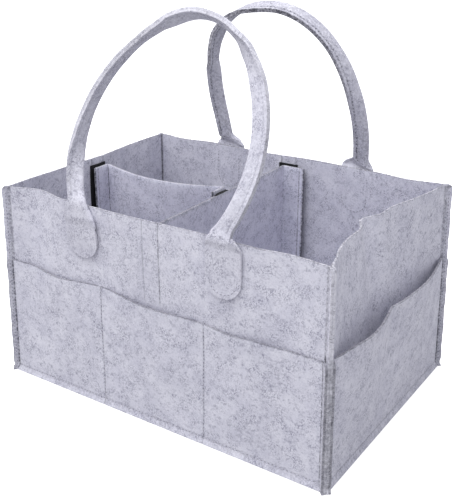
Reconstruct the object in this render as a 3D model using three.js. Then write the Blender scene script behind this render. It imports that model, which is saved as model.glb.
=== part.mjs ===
// Felt diaper caddy: an open felt box with outer pockets, two strap handles and two
// divider inserts held by hook-and-loop tape. Millimetres, +Z up, the front faces -Y,
// the origin is on the floor under the middle of the box.
import * as THREE from "three";
import { mergeVertices } from "three/addons/utils/BufferGeometryUtils.js";

// Felt and tape
const felt = 2;
const tape = 1.2;
const fitGap = 0.3;

// Box, between the corner seams
const floorLength = 324;
const floorDepth = 224;
const rimLength = 315;
const rimDepth = 217;
const wallHeight = 180;

// Bottom seam: the walls and the turned-down rim of the base end in one raw edge
const hemHeight = 5;
const hemFlare = 2.5;

// Corner seams: the raw edges stand out on the diagonal
const seamReach = 4.6;
const seamRound = 4;
const seamTopReach = 1.2;
const seamFootHeight = 10;
const seamFootReach = 2.4;

// Pockets
const pocketHeight = 112;
const pocketFoot = 14;
const longPocketSwell = 7;
const endPocketFrontSwell = 11;
const endPocketRearSwell = 8;
const endPocketCreaseSwell = 2.5;
const longPocketBays = 3;

// Handles: a flat strap, folded double, with a tongue sewn to the wall at each foot. Left
// and right are seen from outside the handle's own wall, and each pair is left, then right.
const strapWidth = 15;
const strapFootWidth = 23;
const strapThickness = 4.5;
const strapFlare = 26;
const strapTipDegrees = 78;
const hingeRise = 3;

// How a strap turns about its own line: [share of the way from its left foot, degrees]. It
// lies flat along the wall at 0 and flat to the hand at 90.
const frontTurns = [
    [0, 0],
    [0.06, 42],
    [0.11, 75],
    [0.2, 97],
    [0.36, 105],
    [0.45, 76],
    [0.6, 67],
    [0.65, 36],
    [0.72, 10],
    [1, 0],
];
const rearTurns = [
    [0, -180],
    [0.13, -148],
    [0.22, -115],
    [0.32, -98],
    [0.52, -100],
    [0.69, -62],
    [0.765, -84],
    [0.81, -35],
    [1, 0],
];

// The arch that a strap stands in: how far its feet are from the middle of the wall, its
// highest point, how far the curve is pulled up from the feet and swings out there, how far
// it is pulled along at the top, and its lean
const handleSizes = {
    front: {
        feet: [73.5, 66.3],
        crown: 13.5,
        rise: 158.4,
        footPulls: [98, 68.3],
        footSwings: [32.4, 45.8],
        crownPulls: [33.1, 58.5],
        leanDegrees: 20.2,
        turns: frontTurns,
    },
    rear: {
        feet: [73.5, 73.5],
        crown: 2.7,
        rise: 144.1,
        footPulls: [133, 123.4],
        footSwings: [8.4, 26],
        crownPulls: [14.6, 45.8],
        leanDegrees: 14.4,
        turns: rearTurns,
    },
};

// Tongues
const tongueWidth = 31.5;
const tongueNeckWidth = 25;
const tongueNeckHeight = 17;
const tongueLength = 48;
const tongueOuterEdge = 86;
const tongueTipShare = 0.12;
const tongueBelowHinge = 0.95;

// Dividers: where each end folds, the bow between the folds and the sag of the top edge
const dividerTop = 172;
const dividerClearance = 1.3;
const crossDividerFront = -5;
const crossDividerBack = 0.5;
const crossDividerBow = 5;
const crossDividerSag = 2;
const longDividerLeft = 11;
const longDividerRight = 16;
const longDividerBow = 8.5;
const longDividerSag = 3.3;
const tabWidth = 19;
const tabBend = 1.8;

// Hook-and-loop tape: loop pads on the walls and hook strips on the dividers' tabs
const padWidth = 20;
const padTop = 174;
const crossPadPlace = 0;
const leftPadPlace = 0.75;
const longPadPlace = 3.5;
const hookWidth = 15;
const hookTop = 170.5;
const hookInset = 1.5;
const tapeLength = 148;
const pressGap = 0.6;

// Folds pressed into the walls when the box is packed flat: how far each presses in at
// the rim. Places are shares of a side, from -1 at its left seam, seen from outside, to 1
// at its right seam, and a fold without a width runs straight to both seams.
const frontLeftPress = 7.5;
const frontRightPress = 2.5;
const backPress = 4;
const rightPress = 17;
const rightCreasePress = 7;
const rightFrontPress = 3.8;
const rightRearPress = 3;
const leftPress = 3.5;
const foldGrowth = 1.15;
const frontFolds = [
    { depth: frontLeftPress, placeShare: -0.82, widthShare: 0.24 },
    { depth: frontRightPress, placeShare: 0.8, widthShare: 0.22 },
];
const backFolds = [
    { depth: backPress, placeShare: -0.8, widthShare: 0.22 },
    { depth: backPress, placeShare: 0.8, widthShare: 0.22 },
];
const rightFolds = [
    { depth: rightPress, placeShare: -0.1, widthShare: 0 },
    { depth: rightCreasePress, placeShare: -0.1, widthShare: 0.22 },
    { depth: rightFrontPress, placeShare: -0.62, widthShare: 0.5 },
    { depth: rightRearPress, placeShare: 0.24, widthShare: 0.28 },
];
const leftFolds = [{ depth: leftPress, placeShare: 0, widthShare: 0.5 }];

// How finely the soft shapes are faceted
const longColumns = 26;
const endColumns = 22;
const wallRows = 5;
const rimRoundShares = [0.6, 0.9, 1];
const pocketRows = 6;
const tongueColumns = 6;
const tongueRoundRows = 5;
const tongueNeckRows = 3;
const strapStations = 72;
const strapFootRings = 3;
const strapRingPoints = 12;
const dividerSteps = 24;
const tabBendSteps = 3;
const padColumns = 4;

const feltLight = new THREE.MeshStandardMaterial({ color: "#c2c2cf", roughness: 0.95, metalness: 0 });
const feltInner = new THREE.MeshStandardMaterial({ color: "#b4b4c6", roughness: 0.95, metalness: 0 });
const tapeBlack = new THREE.MeshStandardMaterial({ color: "#18181a", roughness: 0.8, metalness: 0 });

const { lerp, smoothstep, degToRad } = THREE.MathUtils;
const caddy = new THREE.Group();

function addMesh(name, geometry, material, parent = caddy) {
    const mesh = new THREE.Mesh(geometry, material);
    mesh.name = name;
    parent.add(mesh);
    return mesh;
}

// A group that faces another side of the box
function turnedGroup(quarterTurns) {
    const group = new THREE.Group();
    group.rotation.z = quarterTurns * Math.PI / 2;
    caddy.add(group);
    return group;
}

// Solid geometry

// A closed sheet: columns run to the right and rows up, seen from outside. place() gives
// a point of the inner face (face 0) or of the outer one (face 1).
function sheetGeometry(columns, rows, place) {
    const positions = [];
    const index = [];
    for (const face of [0, 1]) {
        for (const row of rows) {
            for (const column of columns) positions.push(...place(column, row, face));
        }
    }
    const lastColumn = columns.length - 1;
    const lastRow = rows.length - 1;
    const at = (face, row, column) => (face * rows.length + row) * columns.length + column;
    const quad = (...corners) => {
        const [a, b, c, d] = corners.map((corner) => at(...corner));
        index.push(a, b, c, a, c, d);
    };
    for (let row = 0; row < lastRow; row++) {
        const up = row + 1;
        for (let column = 0; column < lastColumn; column++) {
            const right = column + 1;
            quad([1, row, column], [1, row, right], [1, up, right], [1, up, column]);
            quad([0, row, column], [0, up, column], [0, up, right], [0, row, right]);
        }
        quad([1, row, 0], [1, up, 0], [0, up, 0], [0, row, 0]);
        quad([1, row, lastColumn], [0, row, lastColumn], [0, up, lastColumn], [1, up, lastColumn]);
    }
    for (let column = 0; column < lastColumn; column++) {
        const right = column + 1;
        quad([1, 0, column], [0, 0, column], [0, 0, right], [1, 0, right]);
        quad([1, lastRow, column], [1, lastRow, right], [0, lastRow, right], [0, lastRow, column]);
    }
    return indexedGeometry(positions, index);
}

// A closed loft through rings of equal count, counter-clockwise seen from the last ring,
// with a flat cap at each end.
function loftGeometry(rings) {
    const positions = rings.flat(2);
    const count = rings[0].length;
    const index = [];
    for (let ring = 0; ring < rings.length - 1; ring++) {
        for (let point = 0; point < count; point++) {
            const a = ring * count + point;
            const b = ring * count + (point + 1) % count;
            index.push(a, b, b + count, a, b + count, a + count);
        }
    }
    const last = (rings.length - 1) * count;
    for (let point = 1; point < count - 1; point++) {
        index.push(0, point + 1, point);
        index.push(last, last + point, last + point + 1);
    }
    return indexedGeometry(positions, index);
}

function indexedGeometry(positions, index) {
    const geometry = new THREE.BufferGeometry();
    geometry.setAttribute("position", new THREE.Float32BufferAttribute(positions, 3));
    geometry.setIndex(index);
    geometry.computeVertexNormals();
    return geometry;
}

// An upright band of felt or tape: a plan line with a thickness, its top edge sagging
// by sag(x, y).
function bandGeometry(line, thickness, low, high, sag = () => 0) {
    const left = [];
    const right = [];
    line.forEach((point, i) => {
        const before = line[Math.max(i - 1, 0)];
        const after = line[Math.min(i + 1, line.length - 1)];
        const along = after.clone().sub(before).normalize();
        const across = new THREE.Vector2(-along.y, along.x).multiplyScalar(thickness / 2);
        left.push(point.clone().add(across));
        right.push(point.clone().sub(across));
    });
    const shape = new THREE.Shape([...right, ...left.reverse()]);
    const raw = new THREE.ExtrudeGeometry(shape, { depth: high - low, bevelEnabled: false, steps: 1 });
    raw.translate(0, 0, low);
    raw.deleteAttribute("normal");
    raw.deleteAttribute("uv");
    const geometry = mergeVertices(raw);
    const position = geometry.attributes.position;
    const middle = (low + high) / 2;
    for (let i = 0; i < position.count; i++) {
        if (position.getZ(i) > middle) position.setZ(i, high - sag(position.getX(i), position.getY(i)));
    }
    geometry.computeVertexNormals();
    return geometry;
}

// Evenly spaced numbers from low to high
function spread(low, high, steps) {
    return Array.from({ length: steps + 1 }, (_, i) => lerp(low, high, i / steps));
}

// The four sides of the box

// Each side is drawn as the front is, with x along it and -y pointing out, in a group
// that is turned to face its own way. layer is a face's place: 0 is the outside of the
// wall's felt, and more lies further out.
const longSpan = { floor: floorLength, rim: rimLength };
const endSpan = { floor: floorDepth, rim: rimDepth };
const longSide = { span: longSpan, across: endSpan, columns: longColumns };
const endSide = { span: endSpan, across: longSpan, columns: endColumns };
const sides = {
    front: { ...longSide, group: turnedGroup(0), folds: frontFolds },
    right: { ...endSide, group: turnedGroup(1), folds: rightFolds },
    back: { ...longSide, group: turnedGroup(2), folds: backFolds },
    left: { ...endSide, group: turnedGroup(3), folds: leftFolds },
};
const wallInside = -felt;
const pocketInside = fitGap;
const pocketOutside = pocketInside + felt;
const padOutside = wallInside - fitGap;
const padInside = padOutside - tape;

function halfSize(size, z) {
    const flare = hemFlare * Math.max(0, 1 - z / hemHeight);
    return lerp(size.floor, size.rim, z / wallHeight) / 2 + flare;
}

// How far a side's wall is pressed in at a share of its span
function pressedIn(side, share, z) {
    const growth = Math.max(0, (z - pocketFoot) / (wallHeight - pocketFoot)) ** foldGrowth;
    let depth = 0;
    for (const fold of side.folds) {
        const distance = Math.abs(share - fold.placeShare);
        if (fold.widthShare === 0) {
            const room = share < fold.placeShare ? 1 + fold.placeShare : 1 - fold.placeShare;
            depth += fold.depth * (1 - distance / room);
        } else if (distance < fold.widthShare) {
            const edge = Math.min(1, (1 - Math.abs(share)) / fold.widthShare * 2);
            depth += fold.depth * edge * (1 + Math.cos(Math.PI * distance / fold.widthShare)) / 2;
        }
    }
    return depth * growth;
}

// At a corner, the same face of a layer lies this far from the corner's diagonal plane
function seamOffset(layer) {
    return layer + felt + fitGap / 2;
}

function bendPlace(side, z, layer) {
    return halfSize(side.span, z) - (Math.SQRT2 * seamOffset(layer) - layer);
}

function wallPoint(side, along, z, layer, swell = 0) {
    const share = along / bendPlace(side, z, layer);
    return [along, pressedIn(side, share, z) - halfSize(side.across, z) - layer - swell, z];
}

function seamPoint(side, end, z, layer, reach) {
    const offset = seamOffset(layer);
    const out = (reach + offset) / Math.SQRT2;
    const along = (reach - offset) / Math.SQRT2;
    return [end * (halfSize(side.span, z) + along), -halfSize(side.across, z) - out, z];
}

// The raw edge is rounded off at the rim and drawn in at the floor
function seamEdge(z) {
    const foot = smoothstep(z, 0, seamFootHeight);
    const below = Math.max(0, z - (wallHeight - seamRound)) / seamRound;
    const round = (seamReach - seamTopReach) * (1 - Math.sqrt(1 - below * below));
    return lerp(seamFootReach, seamReach, foot) - round;
}

// A panel that runs from one corner seam to the other, turned out at both
function panelGeometry(side, rows, inside, outside, swell = () => 0) {
    const columns = [{ end: -1 }, ...spread(-1, 1, side.columns).map((share) => ({ share })), { end: 1 }];
    return sheetGeometry(columns, rows, (column, z, face) => {
        const layer = face ? outside : inside;
        if (column.end) return seamPoint(side, column.end, z, layer, seamEdge(z));
        const along = column.share * bendPlace(side, z, layer);
        return wallPoint(side, along, z, layer, swell(column.share, z));
    });
}

const wallHeights = [
    0,
    hemHeight,
    ...spread(pocketFoot, wallHeight - seamRound, wallRows),
    ...rimRoundShares.map((share) => wallHeight - seamRound * (1 - share)),
];

for (const [name, side] of Object.entries(sides)) {
    addMesh(`${name}_wall`, panelGeometry(side, wallHeights, wallInside, 0), feltLight, side.group);
}

// Pockets

const pocketHeights = [0, hemHeight, ...spread(pocketFoot, pocketHeight, pocketRows)];

// The long pocket panels are stitched down between their bays, and each bay stands out
function longSwell(share, z) {
    const inBay = (share + 1) / 2 * longPocketBays % 1;
    return longPocketSwell * Math.sin(Math.PI * inBay) ** 2 * pocketOpen(z);
}

function pocketOpen(z) {
    return Math.max(0, (z - pocketFoot) / (pocketHeight - pocketFoot));
}

// An end pocket is one bay, creased in the middle as the wall behind it is. It doesn't
// follow the wall's fold, so the fold's depth is added back.
function endSwell(side) {
    const crease = side.folds[0].placeShare;
    return (share, z) => {
        const front = share < crease;
        const inHalf = front ? (share + 1) / (crease + 1) : (1 - share) / (1 - crease);
        const fullness = front ? endPocketFrontSwell : endPocketRearSwell;
        const puff = fullness * Math.sin(Math.PI * inHalf) + endPocketCreaseSwell * inHalf ** 2;
        return pressedIn(side, share, z) + puff * pocketOpen(z);
    };
}

for (const [name, side] of Object.entries(sides)) {
    const swell = side.span === longSpan ? longSwell : endSwell(side);
    const geometry = panelGeometry(side, pocketHeights, pocketInside, pocketOutside, swell);
    addMesh(`${name}_pocket_panel`, geometry, feltLight, side.group);
}

// Base: a flat panel whose rim is turned down inside the walls' lower edges

function baseRing(z, inset) {
    const x = halfSize(longSpan, z) - inset;
    const y = halfSize(endSpan, z) - inset;
    return [[-x, -y, z], [x, -y, z], [x, y, z], [-x, y, z]];
}

const rimOutside = felt + fitGap;
const rimInside = rimOutside + felt;
const baseTop = hemHeight + felt;
addMesh("base_panel", loftGeometry([
    baseRing(hemHeight, rimInside),
    baseRing(0, rimInside),
    baseRing(0, rimOutside),
    baseRing(hemHeight, rimOutside),
    baseRing(baseTop, rimOutside),
]), feltInner);

const handles = {
    front: { ...handleSizes.front, side: sides.front, leftEnd: -1 },
    rear: { ...handleSizes.rear, side: sides.back, leftEnd: 1 },
};

// Handle tongues: the round ends of the strap, sewn flat to the wall

// end is -1 for the left foot and 1 for the right one, seen from outside the wall
function tongueGeometry(side, end) {
    const radius = tongueWidth / 2;
    const top = wallHeight + hingeRise - tongueBelowHinge;
    const low = top - tongueLength;
    const middle = end * (tongueOuterEdge - radius);
    const round = spread(tongueTipShare, 1, tongueRoundRows).map((share) => Math.PI / 2 * share);
    const rows = round.map((angle) => {
        const reach = radius * Math.sin(angle);
        return { z: low + radius * (1 - Math.cos(angle)), inner: reach, outer: reach };
    });
    for (const share of spread(0, 1, tongueNeckRows)) {
        const neck = (tongueWidth - tongueNeckWidth) * smoothstep(share, 0, 1);
        rows.push({ z: top - tongueNeckHeight * (1 - share), inner: radius - neck, outer: radius });
    }
    return sheetGeometry(spread(-1, 1, tongueColumns), rows, (across, row, face) => {
        const reach = across * end > 0 ? row.outer : row.inner;
        return wallPoint(side, middle + across * reach, row.z, face ? pocketOutside : pocketInside);
    });
}

// Left and right are the caddy's own, seen from its front
for (const [name, handle] of Object.entries(handles)) {
    const { side, leftEnd } = handle;
    for (const end of [-1, 1]) {
        const label = end === leftEnd ? "left" : "right";
        addMesh(`${name}_handle_tongue_${label}`, tongueGeometry(side, end), feltLight, side.group);
    }
}

// Handles

// A strap arch in its own plane: x across, z up from the line that it bends about
function archPath({ feet: [left, right], crown, rise, footPulls, footSwings, crownPulls }) {
    const path = new THREE.Path();
    path.moveTo(-left, 0);
    path.bezierCurveTo(-left - footSwings[0], footPulls[0], crown - crownPulls[0], rise, crown, rise);
    path.bezierCurveTo(crown + crownPulls[1], rise, right + footSwings[1], footPulls[1], right, 0);
    return path;
}

function turnAt(turns, share) {
    const next = Math.max(1, turns.findIndex(([place]) => place >= share));
    const [low, from] = turns[next - 1];
    const [high, to] = turns[next];
    return degToRad(lerp(from, to, smoothstep(share, low, high)));
}

function strapRing(centre, along, width, thickness, turn) {
    const across = new THREE.Vector3(along.y, 0, -along.x);
    const back = new THREE.Vector3(0, 1, 0);
    const wide = across.clone().multiplyScalar(Math.cos(turn)).addScaledVector(back, Math.sin(turn));
    const thin = across.clone().multiplyScalar(-Math.sin(turn)).addScaledVector(back, Math.cos(turn));
    const soft = (value) => Math.sign(value) * Math.sqrt(Math.abs(value));
    return Array.from({ length: strapRingPoints }, (_, i) => {
        const angle = 2 * Math.PI * (i + 0.5) / strapRingPoints;
        return new THREE.Vector3(centre.x, 0, centre.y)
            .addScaledVector(wide, width / 2 * soft(Math.cos(angle)))
            .addScaledVector(thin, thickness / 2 * soft(Math.sin(angle)))
            .toArray();
    });
}

// The rings stand level at the feet, so the strap swings clear of its tongues
function strapGeometry(handle) {
    const path = archPath(handle);
    const length = path.getLength();
    const rings = spread(0, 1, strapStations).map((share) => {
        const free = smoothstep(Math.min(share, 1 - share) * length, 0, strapFlare);
        const level = new THREE.Vector2(0, share < 0.5 ? 1 : -1);
        const along = level.lerp(path.getTangentAt(share), free).normalize();
        const width = lerp(strapFootWidth, strapWidth, free);
        const turn = turnAt(handle.turns, share);
        return strapRing(path.getPointAt(share), along, width, strapThickness, turn);
    });
    const [left, right] = handle.feet;
    const [leftTurn, rightTurn] = [0, 1].map((share) => turnAt(handle.turns, share));
    for (const angle of spread(0, degToRad(strapTipDegrees), strapFootRings).slice(1)) {
        const thin = strapThickness * Math.cos(angle);
        const y = -strapThickness / 2 * Math.sin(angle);
        rings.unshift(strapRing({ x: -left, y }, { x: 0, y: 1 }, strapFootWidth, thin, leftTurn));
        rings.push(strapRing({ x: right, y }, { x: 0, y: -1 }, strapFootWidth, thin, rightTurn));
    }
    return loftGeometry(rings);
}

// The line that a handle bends about: just outside the tongues, above the wall
const hingeOut = halfSize(endSpan, wallHeight) + pocketOutside + fitGap + strapThickness / 2;
for (const [name, handle] of Object.entries(handles)) {
    const strap = addMesh(`${name}_handle`, strapGeometry(handle), feltLight, handle.side.group);
    strap.rotation.x = -degToRad(handle.leanDegrees);
    strap.position.set(0, -hingeOut, wallHeight + hingeRise);
}

// Dividers

// Each divider is one strip of felt with a tab folded over at both ends. From a wall's
// outer face to the middle of the tab lie the wall, a loop pad, a hook strip and half
// the tab.
const dividerLow = baseTop + dividerClearance;
const tabDepth = felt + fitGap + tape + pressGap + tape + fitGap + felt / 2;
const reachAt = (side, z) => halfSize(side.across, z) - pressedIn(side, 0, z);
const narrowest = (side) => Math.min(reachAt(side, padTop), reachAt(side, dividerLow));
const crossTabOut = narrowest(sides.front) - tabDepth;
const longTabLeft = tabDepth - narrowest(sides.left);

function toward(from, to, reach) {
    return from.clone().add(to.clone().sub(from).setLength(reach));
}

// A rounded fold at a corner of the plan line
function foldPoints(before, corner, after) {
    const enter = toward(corner, before, tabBend);
    const leave = toward(corner, after, tabBend);
    return new THREE.QuadraticBezierCurve(enter, corner, leave).getPoints(tabBendSteps);
}

// The plan line of a divider: a tab, the felt between the folds with its bow, and the
// other tab
function dividerLine([start, firstFold, lastFold, end], bow) {
    const first = foldPoints(start, firstFold, lastFold);
    const last = foldPoints(firstFold, lastFold, end);
    const middle = spread(0, 1, dividerSteps).slice(1, -1).map((share) => (
        first.at(-1).clone().lerp(last[0], share).addScaledVector(bow, Math.sin(Math.PI * share))
    ));
    return [start, ...first, ...middle, ...last, end];
}

const crossCorners = [
    new THREE.Vector2(crossDividerFront + tabWidth, -crossTabOut),
    new THREE.Vector2(crossDividerFront, -crossTabOut),
    new THREE.Vector2(crossDividerBack, crossTabOut),
    new THREE.Vector2(crossDividerBack + tabWidth, crossTabOut),
];
const crossLine = dividerLine(crossCorners, new THREE.Vector2(-crossDividerBow, 0));
const crossSag = (x, y) => crossDividerSag * Math.cos(Math.PI / 2 * Math.min(1, Math.abs(y) / crossTabOut));
addMesh("cross_divider", bandGeometry(crossLine, felt, dividerLow, dividerTop, crossSag), feltInner);

// Where the middle of the cross divider's felt lies at a depth in the box
function crossPlace(y) {
    const share = (y + crossTabOut) / (2 * crossTabOut);
    return lerp(crossDividerFront, crossDividerBack, share) - crossDividerBow * Math.sin(Math.PI * share);
}

// The long divider runs from the left wall to the loop pad on the cross divider
const crossPadOut = felt / 2 + fitGap + tape / 2;
const longTabRight = crossPlace(longPadPlace) - crossPadOut - tape / 2 - pressGap - tape - fitGap - felt / 2;
const longCorners = [
    new THREE.Vector2(longTabLeft, longDividerLeft - tabWidth),
    new THREE.Vector2(longTabLeft, longDividerLeft),
    new THREE.Vector2(longTabRight, longDividerRight),
    new THREE.Vector2(longTabRight, longDividerRight - tabWidth),
];
const longLine = dividerLine(longCorners, new THREE.Vector2(0, -longDividerBow));
const longMiddle = (longTabLeft + longTabRight) / 2;
const longHalf = (longTabRight - longTabLeft) / 2;
const longSag = (x) => {
    const share = Math.min(1, Math.abs(x - longMiddle) / longHalf);
    return longDividerSag * Math.cos(Math.PI / 2 * share);
};
addMesh("long_divider", bandGeometry(longLine, felt, dividerLow, dividerTop, longSag), feltInner);

// Hook-and-loop tape

// A loop pad sewn to the inside of a wall, its middle at a place along the side
function wallPad(name, side, place) {
    const columns = spread(place - padWidth / 2, place + padWidth / 2, padColumns);
    const rows = spread(padTop - tapeLength, padTop, wallRows);
    const geometry = sheetGeometry(columns, rows, (along, z, face) => (
        wallPoint(side, along, z, face ? padOutside : padInside)
    ));
    addMesh(name, geometry, tapeBlack, side.group);
}

wallPad("front_wall_loop_pad", sides.front, crossPadPlace);
wallPad("back_wall_loop_pad", sides.back, -crossPadPlace);
wallPad("left_wall_loop_pad", sides.left, -leftPadPlace);

// The loop pad on the cross divider follows its bow
const hookLow = hookTop - tapeLength;
const longPadLine = spread(longPadPlace - padWidth / 2, longPadPlace + padWidth / 2, padColumns).map((y) => (
    new THREE.Vector2(crossPlace(y) - crossPadOut, y)
));
addMesh("cross_divider_loop_pad", bandGeometry(longPadLine, tape, hookLow, hookTop), tapeBlack);

// A hook strip on the outward face of a tab, set in from the tab's free end
function hookStrip(name, freeEnd, fold, outward) {
    const start = toward(freeEnd, fold, hookInset).addScaledVector(outward, (felt + tape) / 2 + fitGap);
    const along = fold.clone().sub(freeEnd).normalize();
    const line = [start, start.clone().addScaledVector(along, hookWidth)];
    addMesh(name, bandGeometry(line, tape, hookLow, hookTop), tapeBlack);
}

hookStrip("cross_divider_hook_front", crossCorners[0], crossCorners[1], new THREE.Vector2(0, -1));
hookStrip("cross_divider_hook_back", crossCorners[3], crossCorners[2], new THREE.Vector2(0, 1));
hookStrip("long_divider_hook_left", longCorners[0], longCorners[1], new THREE.Vector2(-1, 0));
hookStrip("long_divider_hook_right", longCorners[3], longCorners[2], new THREE.Vector2(1, 0));

export default caddy;
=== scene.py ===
"""Felt diaper caddy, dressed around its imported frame.

Four felt walls with outer pockets are sewn together with their raw edges turned out. Two
handles are folded from one length of felt each, and two dividers hang on hook-and-loop
tape. Sizes are in millimetres until a mesh is placed, and the front faces -Y.
"""

import logging
import math
from dataclasses import dataclass, field
from enum import Enum
from typing import Callable, ClassVar, Sequence

import bpy
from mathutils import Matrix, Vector

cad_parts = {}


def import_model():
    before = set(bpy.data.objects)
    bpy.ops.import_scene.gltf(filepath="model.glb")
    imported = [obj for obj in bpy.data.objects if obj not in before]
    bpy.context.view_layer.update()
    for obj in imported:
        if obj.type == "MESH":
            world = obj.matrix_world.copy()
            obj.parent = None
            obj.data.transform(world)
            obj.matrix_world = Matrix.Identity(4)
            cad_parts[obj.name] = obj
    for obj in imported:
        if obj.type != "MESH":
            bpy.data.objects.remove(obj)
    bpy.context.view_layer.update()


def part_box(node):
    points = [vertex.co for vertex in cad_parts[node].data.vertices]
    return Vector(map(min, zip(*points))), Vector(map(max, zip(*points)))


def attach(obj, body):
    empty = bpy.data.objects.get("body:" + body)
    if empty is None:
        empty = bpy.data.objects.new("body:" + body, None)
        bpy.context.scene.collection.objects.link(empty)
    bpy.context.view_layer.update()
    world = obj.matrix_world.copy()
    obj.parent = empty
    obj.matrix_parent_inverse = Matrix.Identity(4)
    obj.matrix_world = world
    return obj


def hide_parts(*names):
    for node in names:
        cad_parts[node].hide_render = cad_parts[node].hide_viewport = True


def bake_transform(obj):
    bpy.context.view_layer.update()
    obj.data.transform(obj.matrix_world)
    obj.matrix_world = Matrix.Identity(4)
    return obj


LOG = logging.getLogger("caddy")
MM = 0.001
# The point attribute that says how much shade is painted into the felt.
SHADE_ATTRIBUTE = "crease"
CROWDING = 1.3
GRID_DIGITS = 4

Material = bpy.types.Material
Piece = bpy.types.Object
Tree = bpy.types.NodeTree
Socket = bpy.types.NodeSocket
Pair = tuple[float, float]
Point = tuple[float, float, float]
Wave = tuple[float, float, float]
Line = Sequence[Pair]
Place = Callable[[float, float], Point]
Mark = Callable[[float, float], float]


# Small tools


def lerp(low: float, high: float, share: float) -> float:
    """A value between low and high."""
    return low + (high - low) * share


def smooth(value: float, low: float, high: float) -> float:
    """Smoothstep from 0 at low to 1 at high."""
    share = min(1.0, max(0.0, (value - low) / (high - low)))
    return share * share * (3 - 2 * share)


def spread(low: float, high: float, steps: int) -> list[float]:
    """Evenly spaced values from low to high."""
    return [lerp(low, high, i / steps) for i in range(steps + 1)]


def bell(distance: float, width: float) -> float:
    """1 on a line, falling off to nothing at about twice a width from it."""
    return math.exp(-((distance / width) ** 2))


def waved(waves: Sequence[Wave], place: float) -> float:
    """The sum of some waves at a place, each of a strength, a rate and a start."""
    return sum(strength * math.sin(place * rate + start) for strength, rate, start in waves)


def patchy(place: float, fast: float, slow: float, start: float) -> float:
    """A strength between 0 and 1 that comes and goes along a line."""
    return 0.5 + 0.5 * math.sin(place * fast) * math.sin(place * slow + start)


def dense_near(values: Sequence[float], lines: Sequence[float],
               offsets: Sequence[float]) -> list[float]:
    """Values with extra ones on both sides of some lines.

    Args:
        values: The evenly spaced values.
        lines: Where stitch lines run.
        offsets: How far from a line the extra values lie, zero among them.

    Returns:
        The sorted values, without those that crowd a line.
    """
    room = max(offsets) * CROWDING
    low, high = min(values), max(values)
    kept = [
        value for value in values
        if value in (low, high) or all(abs(value - line) > room for line in lines)
    ]
    for line in lines:
        beside = [line + side * offset for offset in offsets for side in (-1, 1)]
        kept += [value for value in beside if low < value < high]
    return sorted(set(round(value, GRID_DIGITS) for value in kept))


def profile(points: Line, share: float) -> float:
    """A smooth line through points.

    Args:
        points: Pairs of a share and a value, in order.
        share: Where the value is wanted.

    Returns:
        The value there, or the last one past the end.
    """
    for (low, a), (high, b) in zip(points, points[1:]):
        if share <= high:
            return lerp(a, b, smooth(share, low, high))
    return points[-1][1]


def linear(colour: str) -> tuple[float, float, float, float]:
    """Turns an sRGB hex colour into linear RGBA."""
    parts = [int(colour[i : i + 2], 16) / 255 for i in (1, 3, 5)]
    return (*(c / 12.92 if c <= 0.04045 else ((c + 0.055) / 1.055) ** 2.4 for c in parts), 1.0)


def deselect() -> None:
    """Clears the selection, so that an operator works on one piece only."""
    bpy.ops.object.select_all(action="DESELECT")


def rest_on_floor(piece: Piece) -> None:
    """Flattens what would reach below the floor."""
    for vertex in piece.data.vertices:
        vertex.co.z = max(0.0, vertex.co.z)


def add_modifier(piece: Piece, kind: str, **settings: object) -> None:
    """Adds a modifier to a piece.

    Args:
        piece: The piece.
        kind: The modifier's type.
        settings: Its settings by name.
    """
    modifier = piece.modifiers.new(kind.lower(), kind)
    for key, value in settings.items():
        setattr(modifier, key, value)


def apply_modifiers(piece: Piece) -> None:
    """Applies every modifier of a piece, in order.

    Args:
        piece: The piece.
    """
    deselect()
    piece.select_set(True)
    bpy.context.view_layer.objects.active = piece
    for modifier in list(piece.modifiers):
        bpy.ops.object.modifier_apply(modifier=modifier.name)


def dress(piece: Piece, body: str, slot: str, *nodes: str) -> Piece:
    """Ties a piece to the frame.

    Args:
        piece: The piece.
        body: The body that it rides.
        slot: Its material slot; not used.
        nodes: The CAD nodes that it replaces.

    Returns:
        The same piece.
    """
    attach(piece, body)
    if nodes:
        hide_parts(*nodes)
    return piece


def report(pieces: Sequence[Piece]) -> None:
    """Logs each piece with its number of faces."""
    for piece in pieces:
        LOG.info("%s: %d faces", piece.name, len(piece.data.polygons))


# Finishes


def add_node(tree: Tree, kind: str, settings: dict | None = None,
             links: dict | None = None) -> bpy.types.Node:
    """Adds a shader node.

    Args:
        tree: The node tree.
        kind: The node's type name.
        settings: Attributes, or input sockets by name or number, with their values.
        links: Input sockets by name or number, with the outputs that feed them.

    Returns:
        The new node.
    """
    node = tree.nodes.new(kind)
    for key, value in (settings or {}).items():
        if isinstance(key, str) and hasattr(node, key):
            setattr(node, key, value)
        else:
            node.inputs[key].default_value = value
    for key, output in (links or {}).items():
        tree.links.new(output, node.inputs[key])
    return node


def new_material(name: str) -> tuple[Material, Tree, bpy.types.Node]:
    """Makes an empty material.

    Args:
        name: Its name.

    Returns:
        The material, its tree and its output node.
    """
    material = bpy.data.materials.new(name)
    material.use_nodes = True
    tree = material.node_tree
    tree.nodes.clear()
    return material, tree, add_node(tree, "ShaderNodeOutputMaterial")


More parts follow.
